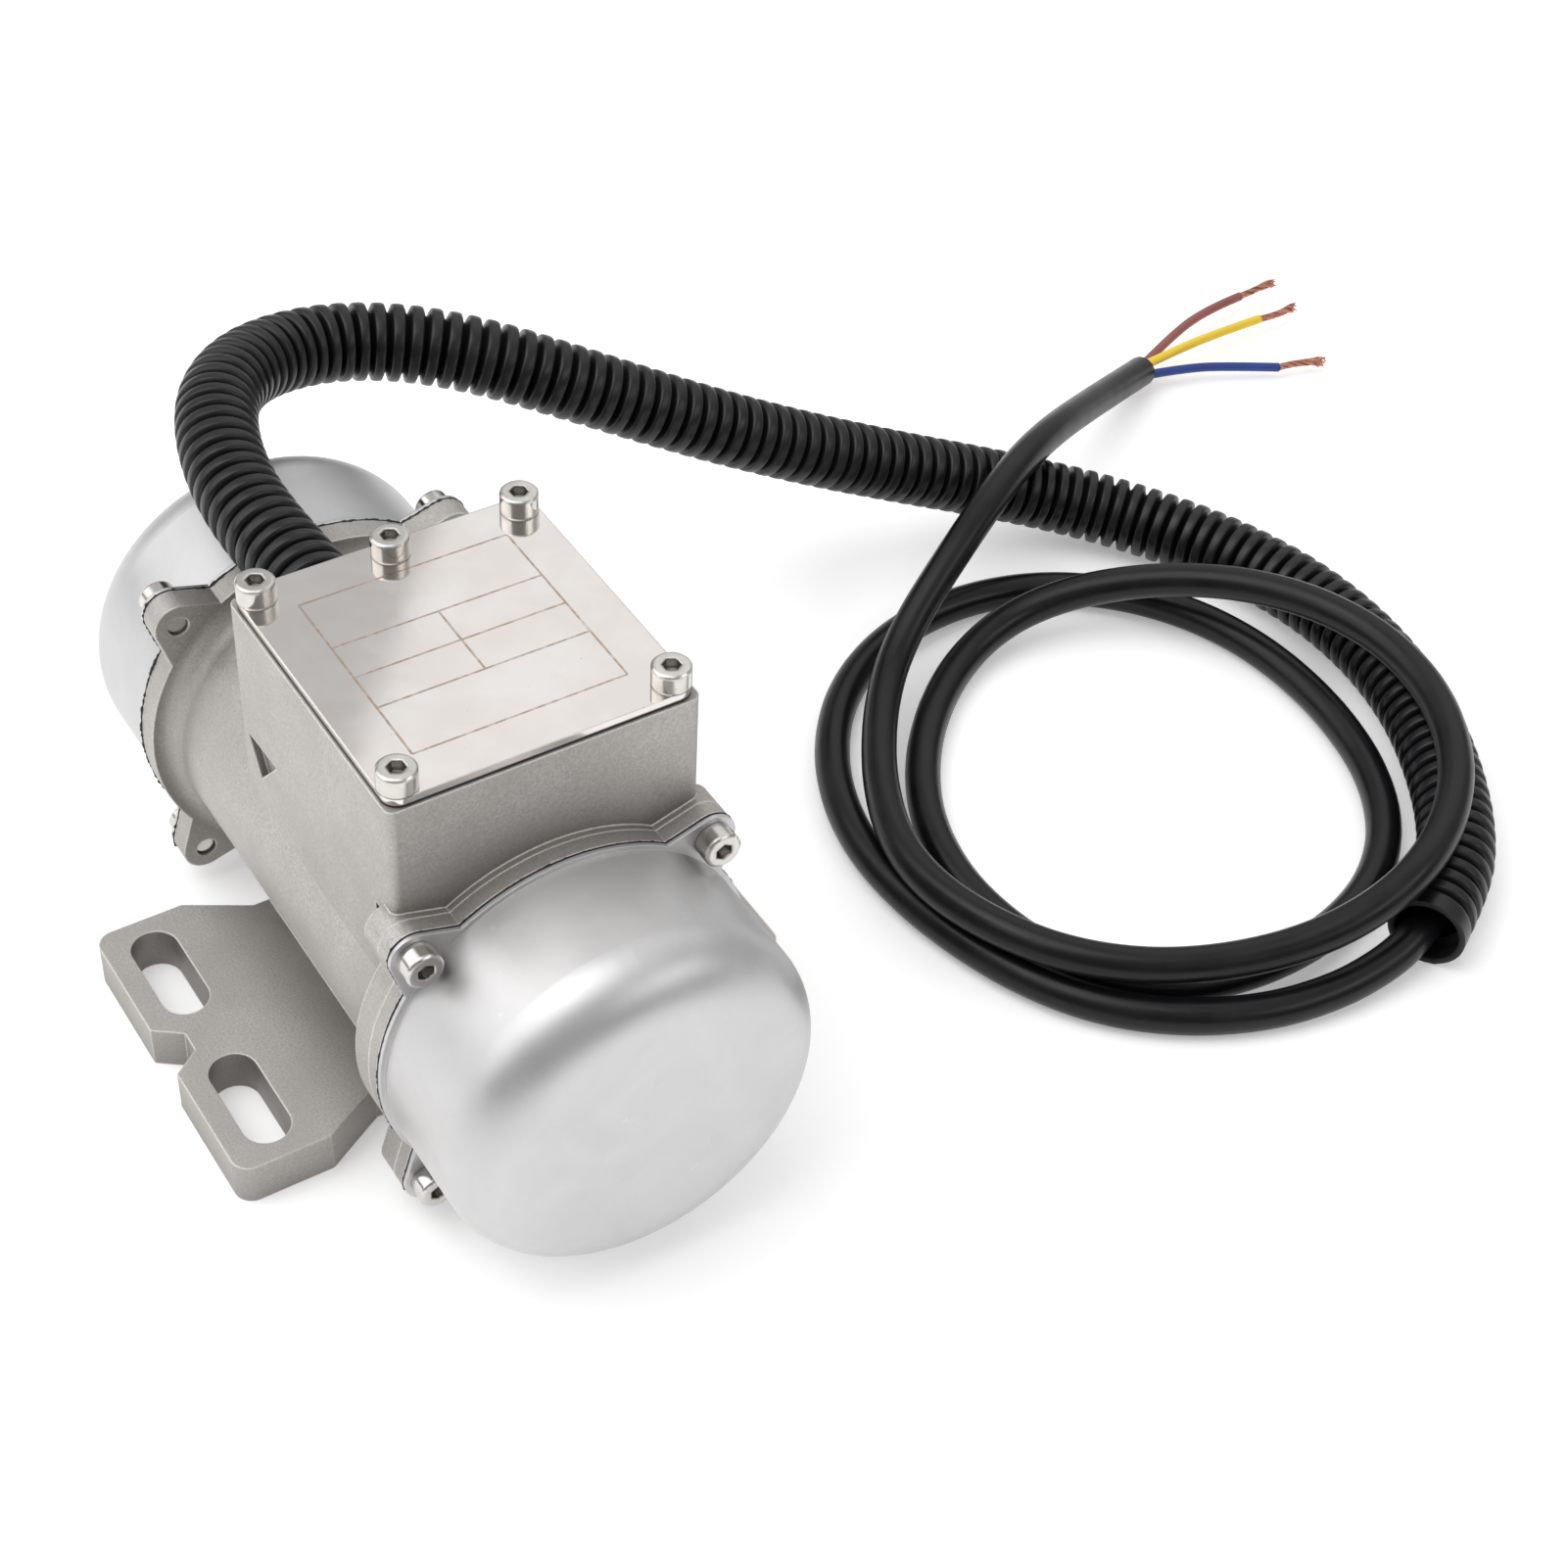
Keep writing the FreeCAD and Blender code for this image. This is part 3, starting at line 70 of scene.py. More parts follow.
CABLE_ROUTE = [
    (0.0862, 0.1784, 0.0077), (0.0915, 0.1658, 0.0062), (0.0929, 0.1565, 0.0049),
    (0.0931, 0.1455, 0.0042), (0.0906, 0.1316, 0.0037), (0.0842, 0.117, 0.0037),
    (0.0742, 0.1045, 0.0037), (0.0607, 0.0956, 0.0037), (0.0441, 0.0898, 0.0037),
    (0.0263, 0.0869, 0.0037), (0.0087, 0.0881, 0.0037), (-0.0081, 0.0942, 0.0037),
    (-0.0227, 0.1046, 0.0037), (-0.0332, 0.1182, 0.0037), (-0.039, 0.1338, 0.0037),
    (-0.0401, 0.1502, 0.0037), (-0.036, 0.1661, 0.0037), (-0.0269, 0.1799, 0.0037),
    (-0.0143, 0.19, 0.0037), (-0.0001, 0.196, 0.0037), (0.0154, 0.1982, 0.0037),
    (0.0319, 0.1972, 0.0037), (0.048, 0.193, 0.0037), (0.0621, 0.185, 0.0037),
    (0.0728, 0.1731, 0.0037), (0.0792, 0.1577, 0.0037), (0.0811, 0.14, 0.0037),
    (0.078, 0.1231, 0.0037), (0.0697, 0.1103, 0.0037), (0.0574, 0.1029, 0.0037),
    (0.043, 0.0994, 0.0037), (0.0281, 0.0994, 0.0037), (0.0125, 0.1039, 0.0037),
    (-0.0026, 0.1132, 0.0037), (-0.0153, 0.1257, 0.0037), (-0.0238, 0.139, 0.0046),
    (-0.0268, 0.1519, 0.0072), (-0.0243, 0.1639, 0.0107), (-0.0183, 0.1752, 0.0141),
    (-0.0099, 0.186, 0.017), (0.0008, 0.1961, 0.019), (0.0144, 0.2044, 0.0199),
    (0.031, 0.2085, 0.0201), (0.0492, 0.2059, 0.0201), (0.0658, 0.1969, 0.0202),
    (0.0783, 0.184, 0.0203), (0.0861, 0.1694, 0.0198), (0.0882, 0.1555, 0.0168),
    (0.0861, 0.1417, 0.0132), (0.0811, 0.1269, 0.0111), (0.0741, 0.112, 0.0112),
    (0.0637, 0.1003, 0.0114), (0.0504, 0.0927, 0.0114), (0.0363, 0.0887, 0.0114),
    (0.0212, 0.0901, 0.0107), (0.0043, 0.0977, 0.009), (-0.0101, 0.1071, 0.0086),
    (-0.0197, 0.1152, 0.0097), (-0.0257, 0.1222, 0.0124), (-0.0301, 0.1295, 0.016),
    (-0.034, 0.1377, 0.0201), (-0.0385, 0.1472, 0.0241), (-0.0443, 0.1583, 0.027),
    (-0.0516, 0.1711, 0.0273), (-0.0603, 0.1858, 0.0239), (-0.0702, 0.2022, 0.0176),
    (-0.0801, 0.2191, 0.0109), (-0.0892, 0.2358, 0.005),
]
CORE_ROUTES = {
    "brown": [
        (-0.0901, 0.2351, 0.0044), (-0.0964, 0.249, 0.005),
        (-0.1023, 0.265, 0.005), (-0.1037, 0.2782, 0.0045),
    ],
    "earth": [
        (-0.0894, 0.2362, 0.00625), (-0.091, 0.249, 0.0062),
        (-0.0928, 0.2628, 0.0052), (-0.094, 0.2767, 0.004),
    ],
    "blue": [
        (-0.0881, 0.2362, 0.0044), (-0.086, 0.2483, 0.004),
        (-0.0815, 0.259, 0.0035), (-0.0764, 0.269, 0.003),
    ],
}
STRAND_ROUTES = {
    "brown": [(-0.1037, 0.2782, 0.0045), (-0.1042, 0.2847, 0.0045), (-0.1041, 0.2901, 0.0052)],
    "earth": [(-0.094, 0.2767, 0.004), (-0.093, 0.2821, 0.004), (-0.0942, 0.2889, 0.004)],
    "blue": [(-0.0764, 0.269, 0.003), (-0.0758, 0.2762, 0.003), (-0.0723, 0.281, 0.003)],
}


# ---------------------------------------------------------------- shader helpers

ROUNDING_SAMPLES = 6
HOLLOW_SAMPLES = 8
# How far a rounded normal agrees with the real one: on flat ground, and on a sharp edge.
FLAT_AGREEMENT = 0.985
EDGE_AGREEMENT = 0.87


class Shader:
    """A material's node tree with short calls for the nodes that the finishes use."""

    def __init__(self, name):
        self.material = bpy.data.materials.new(name)
        self.material.use_nodes = True
        self.tree = self.material.node_tree
        self.surface = self.tree.nodes["Principled BSDF"]
        self.point = self.new("ShaderNodeTexCoord").outputs["Object"]

    def new(self, kind):
        return self.tree.nodes.new(kind)

    def link(self, source, target):
        """Feed an input from another node's output, or set it to a plain value."""
        if isinstance(source, bpy.types.NodeSocket):
            self.tree.links.new(source, target)
        else:
            target.default_value = source

    def set(self, **inputs):
        for name, source in inputs.items():
            self.link(source, self.surface.inputs[name.replace("_", " ")])
        return self

    def noise(self, size, detail=3.0, roughness=0.5, stretch=(1, 1, 1), distortion=0.0):
        """Noise whose blobs are about the given size, in metres."""
        mapping = self.new("ShaderNodeMapping")
        self.link(self.point, mapping.inputs["Vector"])
        mapping.inputs["Scale"].default_value = stretch
        texture = self.new("ShaderNodeTexNoise")
        self.link(mapping.outputs["Vector"], texture.inputs["Vector"])
        texture.inputs["Scale"].default_value = 1 / size
        texture.inputs["Detail"].default_value = detail
        texture.inputs["Roughness"].default_value = roughness
        texture.inputs["Distortion"].default_value = distortion
        return texture.outputs["Fac"]

    def pits(self, size):
        """Distance to the nearest of many points that lie about the given size apart."""
        texture = self.new("ShaderNodeTexVoronoi")
        self.link(self.point, texture.inputs["Vector"])
        texture.inputs["Scale"].default_value = 1 / size
        return texture.outputs["Distance"]

    def ramp(self, source, low, high, start=0.0, end=1.0):
        node = self.new("ShaderNodeMapRange")
        self.link(source, node.inputs["Value"])
        node.inputs["From Min"].default_value = low
        node.inputs["From Max"].default_value = high
        node.inputs["To Min"].default_value = start
        node.inputs["To Max"].default_value = end
        return node.outputs["Result"]

    def maths(self, operation, first, second=0.0):
        node = self.new("ShaderNodeMath")
        node.operation = operation
        self.link(first, node.inputs[0])
        self.link(second, node.inputs[1])
        return node.outputs[0]

    def mix(self, factor, first, second):
        node = self.new("ShaderNodeMix")
        node.data_type = "RGBA"
        self.link(factor, node.inputs["Factor"])
        self.link(first, node.inputs["A"])
        self.link(second, node.inputs["B"])
        return node.outputs["Result"]

    def bump(self, height, depth, strength=1.0, normal=None):
        node = self.new("ShaderNodeBump")
        self.link(height, node.inputs["Height"])
        node.inputs["Distance"].default_value = depth
        node.inputs["Strength"].default_value = strength
        if normal is not None:
            self.link(normal, node.inputs["Normal"])
        return node.outputs["Normal"]

    def rounded(self, radius):
        node = self.new("ShaderNodeBevel")
        node.samples = ROUNDING_SAMPLES
        node.inputs["Radius"].default_value = radius
        return node.outputs["Normal"]

    def edge(self, radius):
        """Near 1 on sharp edges and 0 on flat ground."""
        geometry = self.new("ShaderNodeNewGeometry")
        dot = self.new("ShaderNodeVectorMath")
        dot.operation = "DOT_PRODUCT"
        self.link(self.rounded(radius), dot.inputs[0])
        self.link(geometry.outputs["Normal"], dot.inputs[1])
        return self.ramp(dot.outputs["Value"], FLAT_AGREEMENT, EDGE_AGREEMENT)

    def hollow(self, reach, low, high):
        """0 on open ground and up to 1 in recesses and corners narrower than the reach."""
        node = self.new("ShaderNodeAmbientOcclusion")
        node.samples = HOLLOW_SAMPLES
        node.inputs["Distance"].default_value = reach
        return self.ramp(node.outputs["AO"], high, low)

    def axis(self, index):
        node = self.new("ShaderNodeSeparateXYZ")
        self.link(self.point, node.inputs["Vector"])
        return node.outputs[index]


def rgb(red, green, blue):
    """A colour given as the eye sees it, 0 to 255, turned into scene light."""
    values = []
    for part in (red, green, blue):
        share = part / 255
        values.append(share / 12.92 if share <= 0.04045 else ((share + 0.055) / 1.055) ** 2.4)
    return (*values, 1.0)


# ---------------------------------------------------------------- finishes

BLAST_GRAIN = 0.00045
CAST_CLOUD = 0.012
PIT_SPACING = 0.0023
CAST_SHADE_REACH = 0.016
RUBBED_EDGE = 0.0006
SOCKET_DIRT_AND_SHADE_REACH = 0.0022
MOULDED_CLOUD = 0.009
MOULDED_SPECULAR = 0.4
SKIN_GRAIN = 0.0004
SKIN_DEPTH = 0.00002


def cast_finish():
    """Bead-blasted light alloy: fine grain, small pits, rubbed edges and a patchy painted shade in the
    corners.
    """
    s = Shader("cast_aluminium")
    grain = s.noise(BLAST_GRAIN, 4, 0.7)
    cloud = s.noise(CAST_CLOUD, 3, 0.6)
    pit = s.ramp(s.pits(PIT_SPACING), 0.0, 0.09)
    body = s.mix(s.ramp(cloud, 0.35, 0.7), rgb(188, 184, 180), rgb(203, 200, 196))
    speckle = s.mix(s.ramp(grain, 0.35, 0.65), rgb(168, 164, 160), body)
    pitted = s.mix(pit, rgb(136, 132, 127), speckle)
    # Painted shade: the colour darkens to a dark grey in corners and recesses within the reach, patchy with
    # the cloud.
    grime_and_shade = s.maths("MULTIPLY", s.hollow(CAST_SHADE_REACH, 0.3, 0.95), s.ramp(cloud, 0.3, 0.6, 0.45, 0.7))
    corner_shaded = s.mix(grime_and_shade, pitted, rgb(104, 98, 93))
    rubbed = s.maths("MULTIPLY", s.edge(RUBBED_EDGE), s.ramp(grain, 0.3, 0.5, 0.4, 1.0))
    worn = s.mix(rubbed, corner_shaded, rgb(238, 236, 232))
    height = s.maths("ADD", grain, s.maths("MULTIPLY", pit, 1.5))
    normal = s.bump(height, 0.00006, 0.6, s.rounded(0.0005))
    s.set(Base_Color=worn, Metallic=0.7, Roughness=s.ramp(grain, 0.3, 0.7, 0.44, 0.6), Normal=normal)
    return s.material


def drawn_finish():
    """Satin drawn sheet with faint smudges."""
    s = Shader("drawn_sheet")
    smudge = s.noise(0.018, 4, 0.65, distortion=0.8)
    haze = s.noise(0.0011, 3, 0.6)
    body = s.mix(s.ramp(smudge, 0.35, 0.7), rgb(201, 200, 200), rgb(209, 208, 208))
    marks = s.maths("MULTIPLY", s.ramp(s.noise(0.0028, 5, 0.75), 0.62, 0.72),
                    s.ramp(s.noise(0.02, 2), 0.5, 0.65))
    body = s.mix(s.maths("MULTIPLY", marks, 0.5), body, rgb(232, 232, 234))
    s.set(Base_Color=body, Metallic=0.95, Roughness=s.ramp(smudge, 0.3, 0.75, 0.43, 0.48),
          Normal=s.bump(haze, 0.00002, 0.35, s.rounded(0.0003)))
    return s.material


TABLE_MARGIN = 0.0085
TABLE_ROWS = (0.0, 0.3, 0.5, 0.7, 1.0)
HALF_LINE = 0.00022


def polished_finish():
    """Polished plate with a blank ruled table etched into it."""
    s = Shader("polished_plate")
    low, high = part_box("cover_plate")
    x, y = s.axis(0), s.axis(1)
    inner_low = Vector((low.x + TABLE_MARGIN, low.y + TABLE_MARGIN))
    inner_high = Vector((high.x - TABLE_MARGIN, high.y - TABLE_MARGIN))

    def band(value, start, end):
        above = s.maths("GREATER_THAN", value, start)
        below = s.maths("LESS_THAN", value, end)
        return s.maths("MULTIPLY", above, below)

    def line(across, at, along, start, end):
        stroke = band(across, at - HALF_LINE, at + HALF_LINE)
        return s.maths("MULTIPLY", stroke, band(along, start, end))

    span = inner_high.x - inner_low.x
    lines = [line(y, inner_low.y, x, inner_low.x, inner_high.x),
             line(y, inner_high.y, x, inner_low.x, inner_high.x)]
    for share in TABLE_ROWS:
        lines.append(line(x, inner_low.x + share * span, y, inner_low.y, inner_high.y))
    lines.append(line(y, 0.0, x, inner_low.x + TABLE_ROWS[1] * span, inner_low.x + TABLE_ROWS[3] * span))
    etched = lines[0]
    for other in lines[1:]:
        etched = s.maths("MAXIMUM", etched, other)
    smudge = s.noise(0.012, 4, 0.6, distortion=1.2)
    etched = s.maths("MULTIPLY", etched, s.ramp(s.noise(0.0015, 2), 0.3, 0.6, 0.35, 0.8))
    film = s.noise(0.011, 3, 0.55, distortion=0.2)
    specks = s.ramp(s.pits(0.0031), 0.03, 0.06, 0.6, 0.0)
    bare = s.mix(s.ramp(film, 0.4, 0.7), rgb(223, 217, 213), rgb(229, 225, 222))
    bare = s.mix(s.maths("MULTIPLY", specks, s.ramp(smudge, 0.45, 0.6)), bare, rgb(186, 172, 160))
    polish = s.maths("ADD", s.ramp(smudge, 0.35, 0.75, 0.06, 0.1), s.maths("MULTIPLY", etched, 0.25))
    s.set(Base_Color=s.mix(etched, bare, rgb(168, 142, 121)), Metallic=1.0, Roughness=polish,
          Normal=s.bump(s.noise(0.02, 2), 0.00003, 0.15, s.rounded(0.0003)))
    return s.material


def plated_finish(name, colour, roughness, metallic=1.0, bevel=0.0004, grime_and_shade=0.0):
    """Turned or plated metal with a light haze, and with dirt and painted shade in its recesses."""
    s = Shader(name)
    haze = s.noise(0.003, 3)
    body = s.mix(s.ramp(haze, 0.35, 0.65), colour, tuple(0.88 * c for c in colour[:3]) + (1,))
    polish = s.ramp(haze, 0.3, 0.7, roughness, roughness + 0.1)
    if grime_and_shade:
        # Dark brown in the sockets and recesses: partly real dirt and rust, partly painted shade.
        dirt_and_shade = s.maths("MULTIPLY", s.hollow(SOCKET_DIRT_AND_SHADE_REACH, 0.25, 0.6), grime_and_shade)
        body = s.mix(dirt_and_shade, body, rgb(38, 28, 22))
        polish = s.maths("ADD", polish, s.maths("MULTIPLY", dirt_and_shade, 0.3))
    s.set(Base_Color=body, Metallic=metallic, Roughness=polish,
          Normal=s.bump(s.noise(0.0006, 2), 0.00001, 0.3, s.rounded(bevel)))
    return s.material


def moulded_finish(name, colour, roughness, specular=MOULDED_SPECULAR):
    """Moulded plastic or rubber with a fine skin and soft colour change."""
    s = Shader(name)
    cloud = s.noise(MOULDED_CLOUD, 3)
    skin = s.noise(SKIN_GRAIN, 2, 0.6)
    paler = tuple(min(1.0, 1.2 * c + 0.002) for c in colour[:3]) + (1,)
    s.set(Base_Color=s.mix(s.ramp(cloud, 0.35, 0.7), colour, paler),
          Roughness=s.ramp(cloud, 0.3, 0.7, roughness, roughness + 0.12), Specular_IOR_Level=specular,
          Normal=s.bump(skin, SKIN_DEPTH, 0.3))
    return s.material


SHEET_PITCH = 0.0005


def laminated_finish():
    """Stacked sheet edges along the shaft."""
    s = Shader("laminated_steel")
    stack = s.maths("FRACT", s.maths("MULTIPLY", s.axis(0), 1 / SHEET_PITCH))
    s.set(Base_Color=s.mix(stack, rgb(112, 112, 114), rgb(150, 150, 152)), Metallic=0.8, Roughness=0.5,
          Normal=s.bump(stack, 0.00005, 0.5))
    return s.material


def wound_finish(name, colour, pitch):
    """Twisted or wound wire: fine slanting ridges."""
    s = Shader(name)
    ridge = s.noise(pitch, 2, 0.5, stretch=(1, 3, 3))
    s.set(Base_Color=s.mix(s.ramp(ridge, 0.4, 0.6), tuple(0.55 * c for c in colour[:3]) + (1,), colour),
          Metallic=0.85, Roughness=0.36, Normal=s.bump(ridge, 0.00015, 0.7))
    return s.material


def conduit_finish():
    """Black corrugated hose, rougher inside its bore, where a painted shade makes it near black."""
    s = Shader("conduit_black")
    inside = s.new("ShaderNodeAttribute")
    inside.attribute_name = "bore"
    cloud = s.noise(MOULDED_CLOUD, 3)
    skin = s.mix(s.ramp(cloud, 0.35, 0.7), rgb(14, 14, 17), rgb(20, 20, 23))
    gloss = s.ramp(cloud, 0.3, 0.7, 0.3, 0.42)
    # Painted shade: the bore's vertices take a near-black colour.
    s.set(Base_Color=s.mix(inside.outputs["Fac"], skin, rgb(5, 5, 6)),
          Roughness=s.maths("ADD", gloss, s.maths("MULTIPLY", inside.outputs["Fac"], 0.5)),
          Specular_IOR_Level=MOULDED_SPECULAR,
          Normal=s.bump(s.noise(SKIN_GRAIN, 2, 0.6), SKIN_DEPTH, 0.3))
    return s.material


STRIPE_SIDE = (0.733, -0.502, -0.459)


def striped_finish():
    """Yellow insulation with a thin green stripe along one side."""
    s = Shader("core_yellow_green")
    geometry = s.new("ShaderNodeNewGeometry")
    facing = s.new("ShaderNodeVectorMath")
    facing.operation = "DOT_PRODUCT"
    s.link(geometry.outputs["Normal"], facing.inputs[0])
    facing.inputs[1].default_value = STRIPE_SIDE
    stripe = s.ramp(facing.outputs["Value"], 0.93, 0.96)
    s.set(Base_Color=s.mix(stripe, rgb(240, 205, 50), rgb(92, 160, 88)), Roughness=0.42,
          Normal=s.bump(s.noise(0.0006, 2), 0.00003, 0.4))
    return s.material


FINISHES = {
    "cast_aluminium": cast_finish(),
    "drawn_sheet": drawn_finish(),
    "polished_plate": polished_finish(),
    "screw_steel": plated_finish("screw_steel", rgb(212, 209, 204), 0.12, bevel=0.0007,
                                 grime_and_shade=0.95),
    "ground_steel": plated_finish("ground_steel", rgb(190, 191, 193), 0.22),
    "weight_steel": plated_finish("weight_steel", rgb(120, 121, 123), 0.45, 0.9),
    "laminated_steel": laminated_finish(),
    "winding_copper": wound_finish("winding_copper", rgb(176, 100, 58), 0.0011),
    "bare_copper": plated_finish("bare_copper", rgb(206, 146, 124), 0.3),
    "gasket_rubber": moulded_finish("gasket_rubber", rgb(44, 44, 46), 0.6),
    "black_plastic": moulded_finish("black_plastic", rgb(40, 40, 42), 0.5),
    "capacitor_can": moulded_finish("capacitor_can", rgb(222, 222, 218), 0.35),
    "terminal_plastic": moulded_finish("terminal_plastic", rgb(232, 230, 218), 0.45),
    "lead_sleeve": moulded_finish("lead_sleeve", rgb(150, 62, 54), 0.5),
    "cage_plastic": moulded_finish("cage_plastic", rgb(222, 212, 180), 0.5),
    "conduit_black": conduit_finish(),
    "cable_black": moulded_finish("cable_black", rgb(13, 13, 16), 0.27, specular=0.3),
    "core_brown": moulded_finish("core_brown", rgb(140, 84, 80), 0.4),
    "core_yellow_green": striped_finish(),
    "core_blue": moulded_finish("core_blue", rgb(36, 60, 132), 0.4),
}


def dress_nodes():
    """Give every CAD node the finish of its slot in the record."""
    for part in frame["record"]["subparts"]:
        mesh = NODES[part["node"]].data
        mesh.materials.clear()
        mesh.materials.append(FINISHES[part["material_slot"]])


# ---------------------------------------------------------------- cords

SPLINE_RESOLUTION = 12
ROUND_RESOLUTION = 7


def route_curve(name, route, radius=0.0):
    """A smooth spline with the route's points as its control points."""
    data = bpy.data.curves.new(name, "CURVE")
    data.dimensions = "3D"
    spline = data.splines.new("NURBS")
    spline.points.add(len(route) - 1)
    for control, place in zip(spline.points, route):
        control.co = (*place, 1.0)
    spline.order_u = 3
    spline.use_endpoint_u = True
    spline.resolution_u = SPLINE_RESOLUTION
    data.bevel_depth = radius
    data.bevel_resolution = ROUND_RESOLUTION
    data.use_fill_caps = True
    piece = bpy.data.objects.new(name, data)
    bpy.context.scene.collection.objects.link(piece)
    return piece


def centreline(route):
    """Points along the route's spline."""
    guide = route_curve("guide", route)
    bpy.context.view_layer.update()
    mesh = bpy.data.meshes.new_from_object(guide)
    points = [vertex.co.copy() for vertex in mesh.vertices]
    bpy.data.meshes.remove(mesh)
    bpy.data.objects.remove(guide)
    return points


def line_length(points):
    return sum((b - a).length for a, b in zip(points, points[1:]))


def evenly(points, step):
    """Points at equal steps along a line of points."""
    runs = [(b - a).length for a, b in zip(points, points[1:])]
    total = sum(runs)
    count = max(2, round(total / step))
    places = []
    index = 0
    passed = 0.0
    for number in range(count + 1):
        target = total * number / count
        while index < len(runs) - 1 and passed + runs[index] < target:
            passed += runs[index]
            index += 1
        share = (target - passed) / runs[index]
        places.append(points[index].lerp(points[index + 1], min(share, 1.0)))
    return places


def frames_along(places):
    """A pair of cross directions at each place that doesn't twist."""
    headings = []
    for number in range(len(places)):
        before = places[max(number - 1, 0)]
        after = places[min(number + 1, len(places) - 1)]
        headings.append((after - before).normalized())
    side = headings[0].orthogonal().normalized()
    up = headings[0].cross(side)
    pairs = []
    for heading in headings:
        side = (side - heading * side.dot(heading)).normalized()
        up = (up - heading * up.dot(heading) - side * up.dot(side)).normalized()
        pairs.append((side, up))
    return pairs


def swept_mesh(name, places, radii, segments, seam=0.0):
    """A tube of changing radius round a line of places, with a raised line along one side."""
    vertices = []
    for place, radius, (side, up) in zip(places, radii, frames_along(places)):
        for step in range(segments):
            angle = 2 * math.pi * step / segments
            reach = radius + (seam if step == 0 else 0.0)
            vertices.append(place + reach * (math.cos(angle) * side + math.sin(angle) * up))
    faces = []
    for ring in range(len(places) - 1):
        for step in range(segments):
            a = ring * segments + step
            b = ring * segments + (step + 1) % segments
            faces.append((a, b, b + segments, a + segments))
    faces.append(tuple(reversed(range(segments))))
    faces.append(tuple(range(len(vertices) - segments, len(vertices))))
    mesh = bpy.data.meshes.new(name)
    mesh.from_pydata(vertices, [], faces)
    for polygon in mesh.polygons:
        polygon.use_smooth = True
    piece = bpy.data.objects.new(name, mesh)
    bpy.context.scene.collection.objects.link(piece)
    return piece


def finish_piece(piece, slot, body, *replaced):
    piece.data.materials.append(FINISHES[slot])
    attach(piece, body)
    if replaced:
        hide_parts(*replaced)
    return piece


# The hose's corrugation, and its open mouth: a smooth collar round a bore that is closed further in.
RIDGE_PITCH = 0.0037
RIDGE_STEPS = 14
GROOVE_DEPTH = 0.0017
CROWN_DROP = 0.0003
SEAM_HEIGHT = 0.00015
HOSE_SEGMENTS = 48
WALL = 0.0008
BORE_RADIUS = 0.0066
BORE_DEPTH = 0.045
COLLAR_STEPS = 11
SHARP_ANGLE = math.radians(60)


def ridge_radius(phase):
    """Radius of the corrugated hose over one pitch: a broad crown and a narrow groove."""
    away = 2 * abs(phase % 1.0 - 0.5)
    groove = math.cos(math.pi / 2 * min(1.0, away / 0.5)) ** 2
    return CONDUIT_DIAMETER / 2 - CROWN_DROP * (1 - away) ** 2 - GROOVE_DEPTH * groove


def make_conduit():
    """The hose: ridges outside, then back inside along the bore, all one skin."""
    line = centreline(CONDUIT_ROUTE)
    places = evenly(line, RIDGE_PITCH / RIDGE_STEPS)
    mouth = len(places) - 1
    outer = [ridge_radius(min(0, number - mouth + COLLAR_STEPS) / RIDGE_STEPS)
             for number in range(len(places))]
    inside_count = int(BORE_DEPTH / RIDGE_PITCH) * RIDGE_STEPS
    inside = list(reversed(places[-inside_count:]))
    inner = [min(radius - WALL, BORE_RADIUS) for radius in reversed(outer[-inside_count:])]
    hose = swept_mesh("conduit_hose", places + inside, outer + inner, HOSE_SEGMENTS, seam=SEAM_HEIGHT)
    hose.data.set_sharp_from_angle(angle=SHARP_ANGLE)
    # Vertices inside the bore are marked for the painted shade in conduit_black.
    bore = hose.data.attributes.new("bore", "FLOAT", "POINT")
    for number in range(len(places) * HOSE_SEGMENTS, len(hose.data.vertices)):
        bore.data[number].value = 1.0
    finish_piece(hose, "conduit_black", "frame", "conduit")
    length = line_length(line)
    [tuple(point) for point in line]


def spline_length(route):
    return line_length(centreline(route))


WIRES = 28
INNER_WIRES = 8
WIRE_RADIUS = 0.00016
WIRE_SEGMENTS = 6
INNER_RING = 0.0003
OUTER_RING = 0.0007
STRAND_STEP = 0.0003
FRAY_START = 0.45
GOLDEN_SHARE = 0.381966
# Least and most, by chance for each wire: turns in the twist, spread and angle at the tip, share of length.
TURNS = (0.9, 1.6)
FRAY = (-0.0003, 0.0011)
KINK = (-1.0, 1.0)
REACH = (0.86, 1.0)


def make_strands():
    """Each bare end: a twist of fine wires that frays towards its tip."""
    bundle = []
    randomly = random.Random(7)
    for route in STRAND_ROUTES.values():
        places = evenly(centreline(route), STRAND_STEP)
        pairs = frames_along(places)
        last = len(places) - 1
        for wire in range(WIRES):
            ring = INNER_RING if wire < INNER_WIRES else OUTER_RING
            turns = randomly.uniform(*TURNS)
            fray = randomly.uniform(*FRAY)
            kink = randomly.uniform(*KINK)
            points = []
            for number, (place, (side, up)) in enumerate(zip(places, pairs)):
                share = number / last
                loose = max(0.0, share - FRAY_START) / (1 - FRAY_START)
                angle = 2 * math.pi * (wire * GOLDEN_SHARE + turns * share) + kink * loose
                reach = ring + fray * loose * loose
                points.append(place + reach * (math.cos(angle) * side + math.sin(angle) * up))
            stop = int(last * randomly.uniform(*REACH))
            bundle.append(swept_mesh("wire", points[:stop], [WIRE_RADIUS] * stop, WIRE_SEGMENTS))
    with bpy.context.temp_override(active_object=bundle[0], selected_editable_objects=bundle):
        bpy.ops.object.join()
    strands = bundle[0]
    strands.name = "copper_strands"
    return finish_piece(strands, "bare_copper", "frame", "bare_strands")


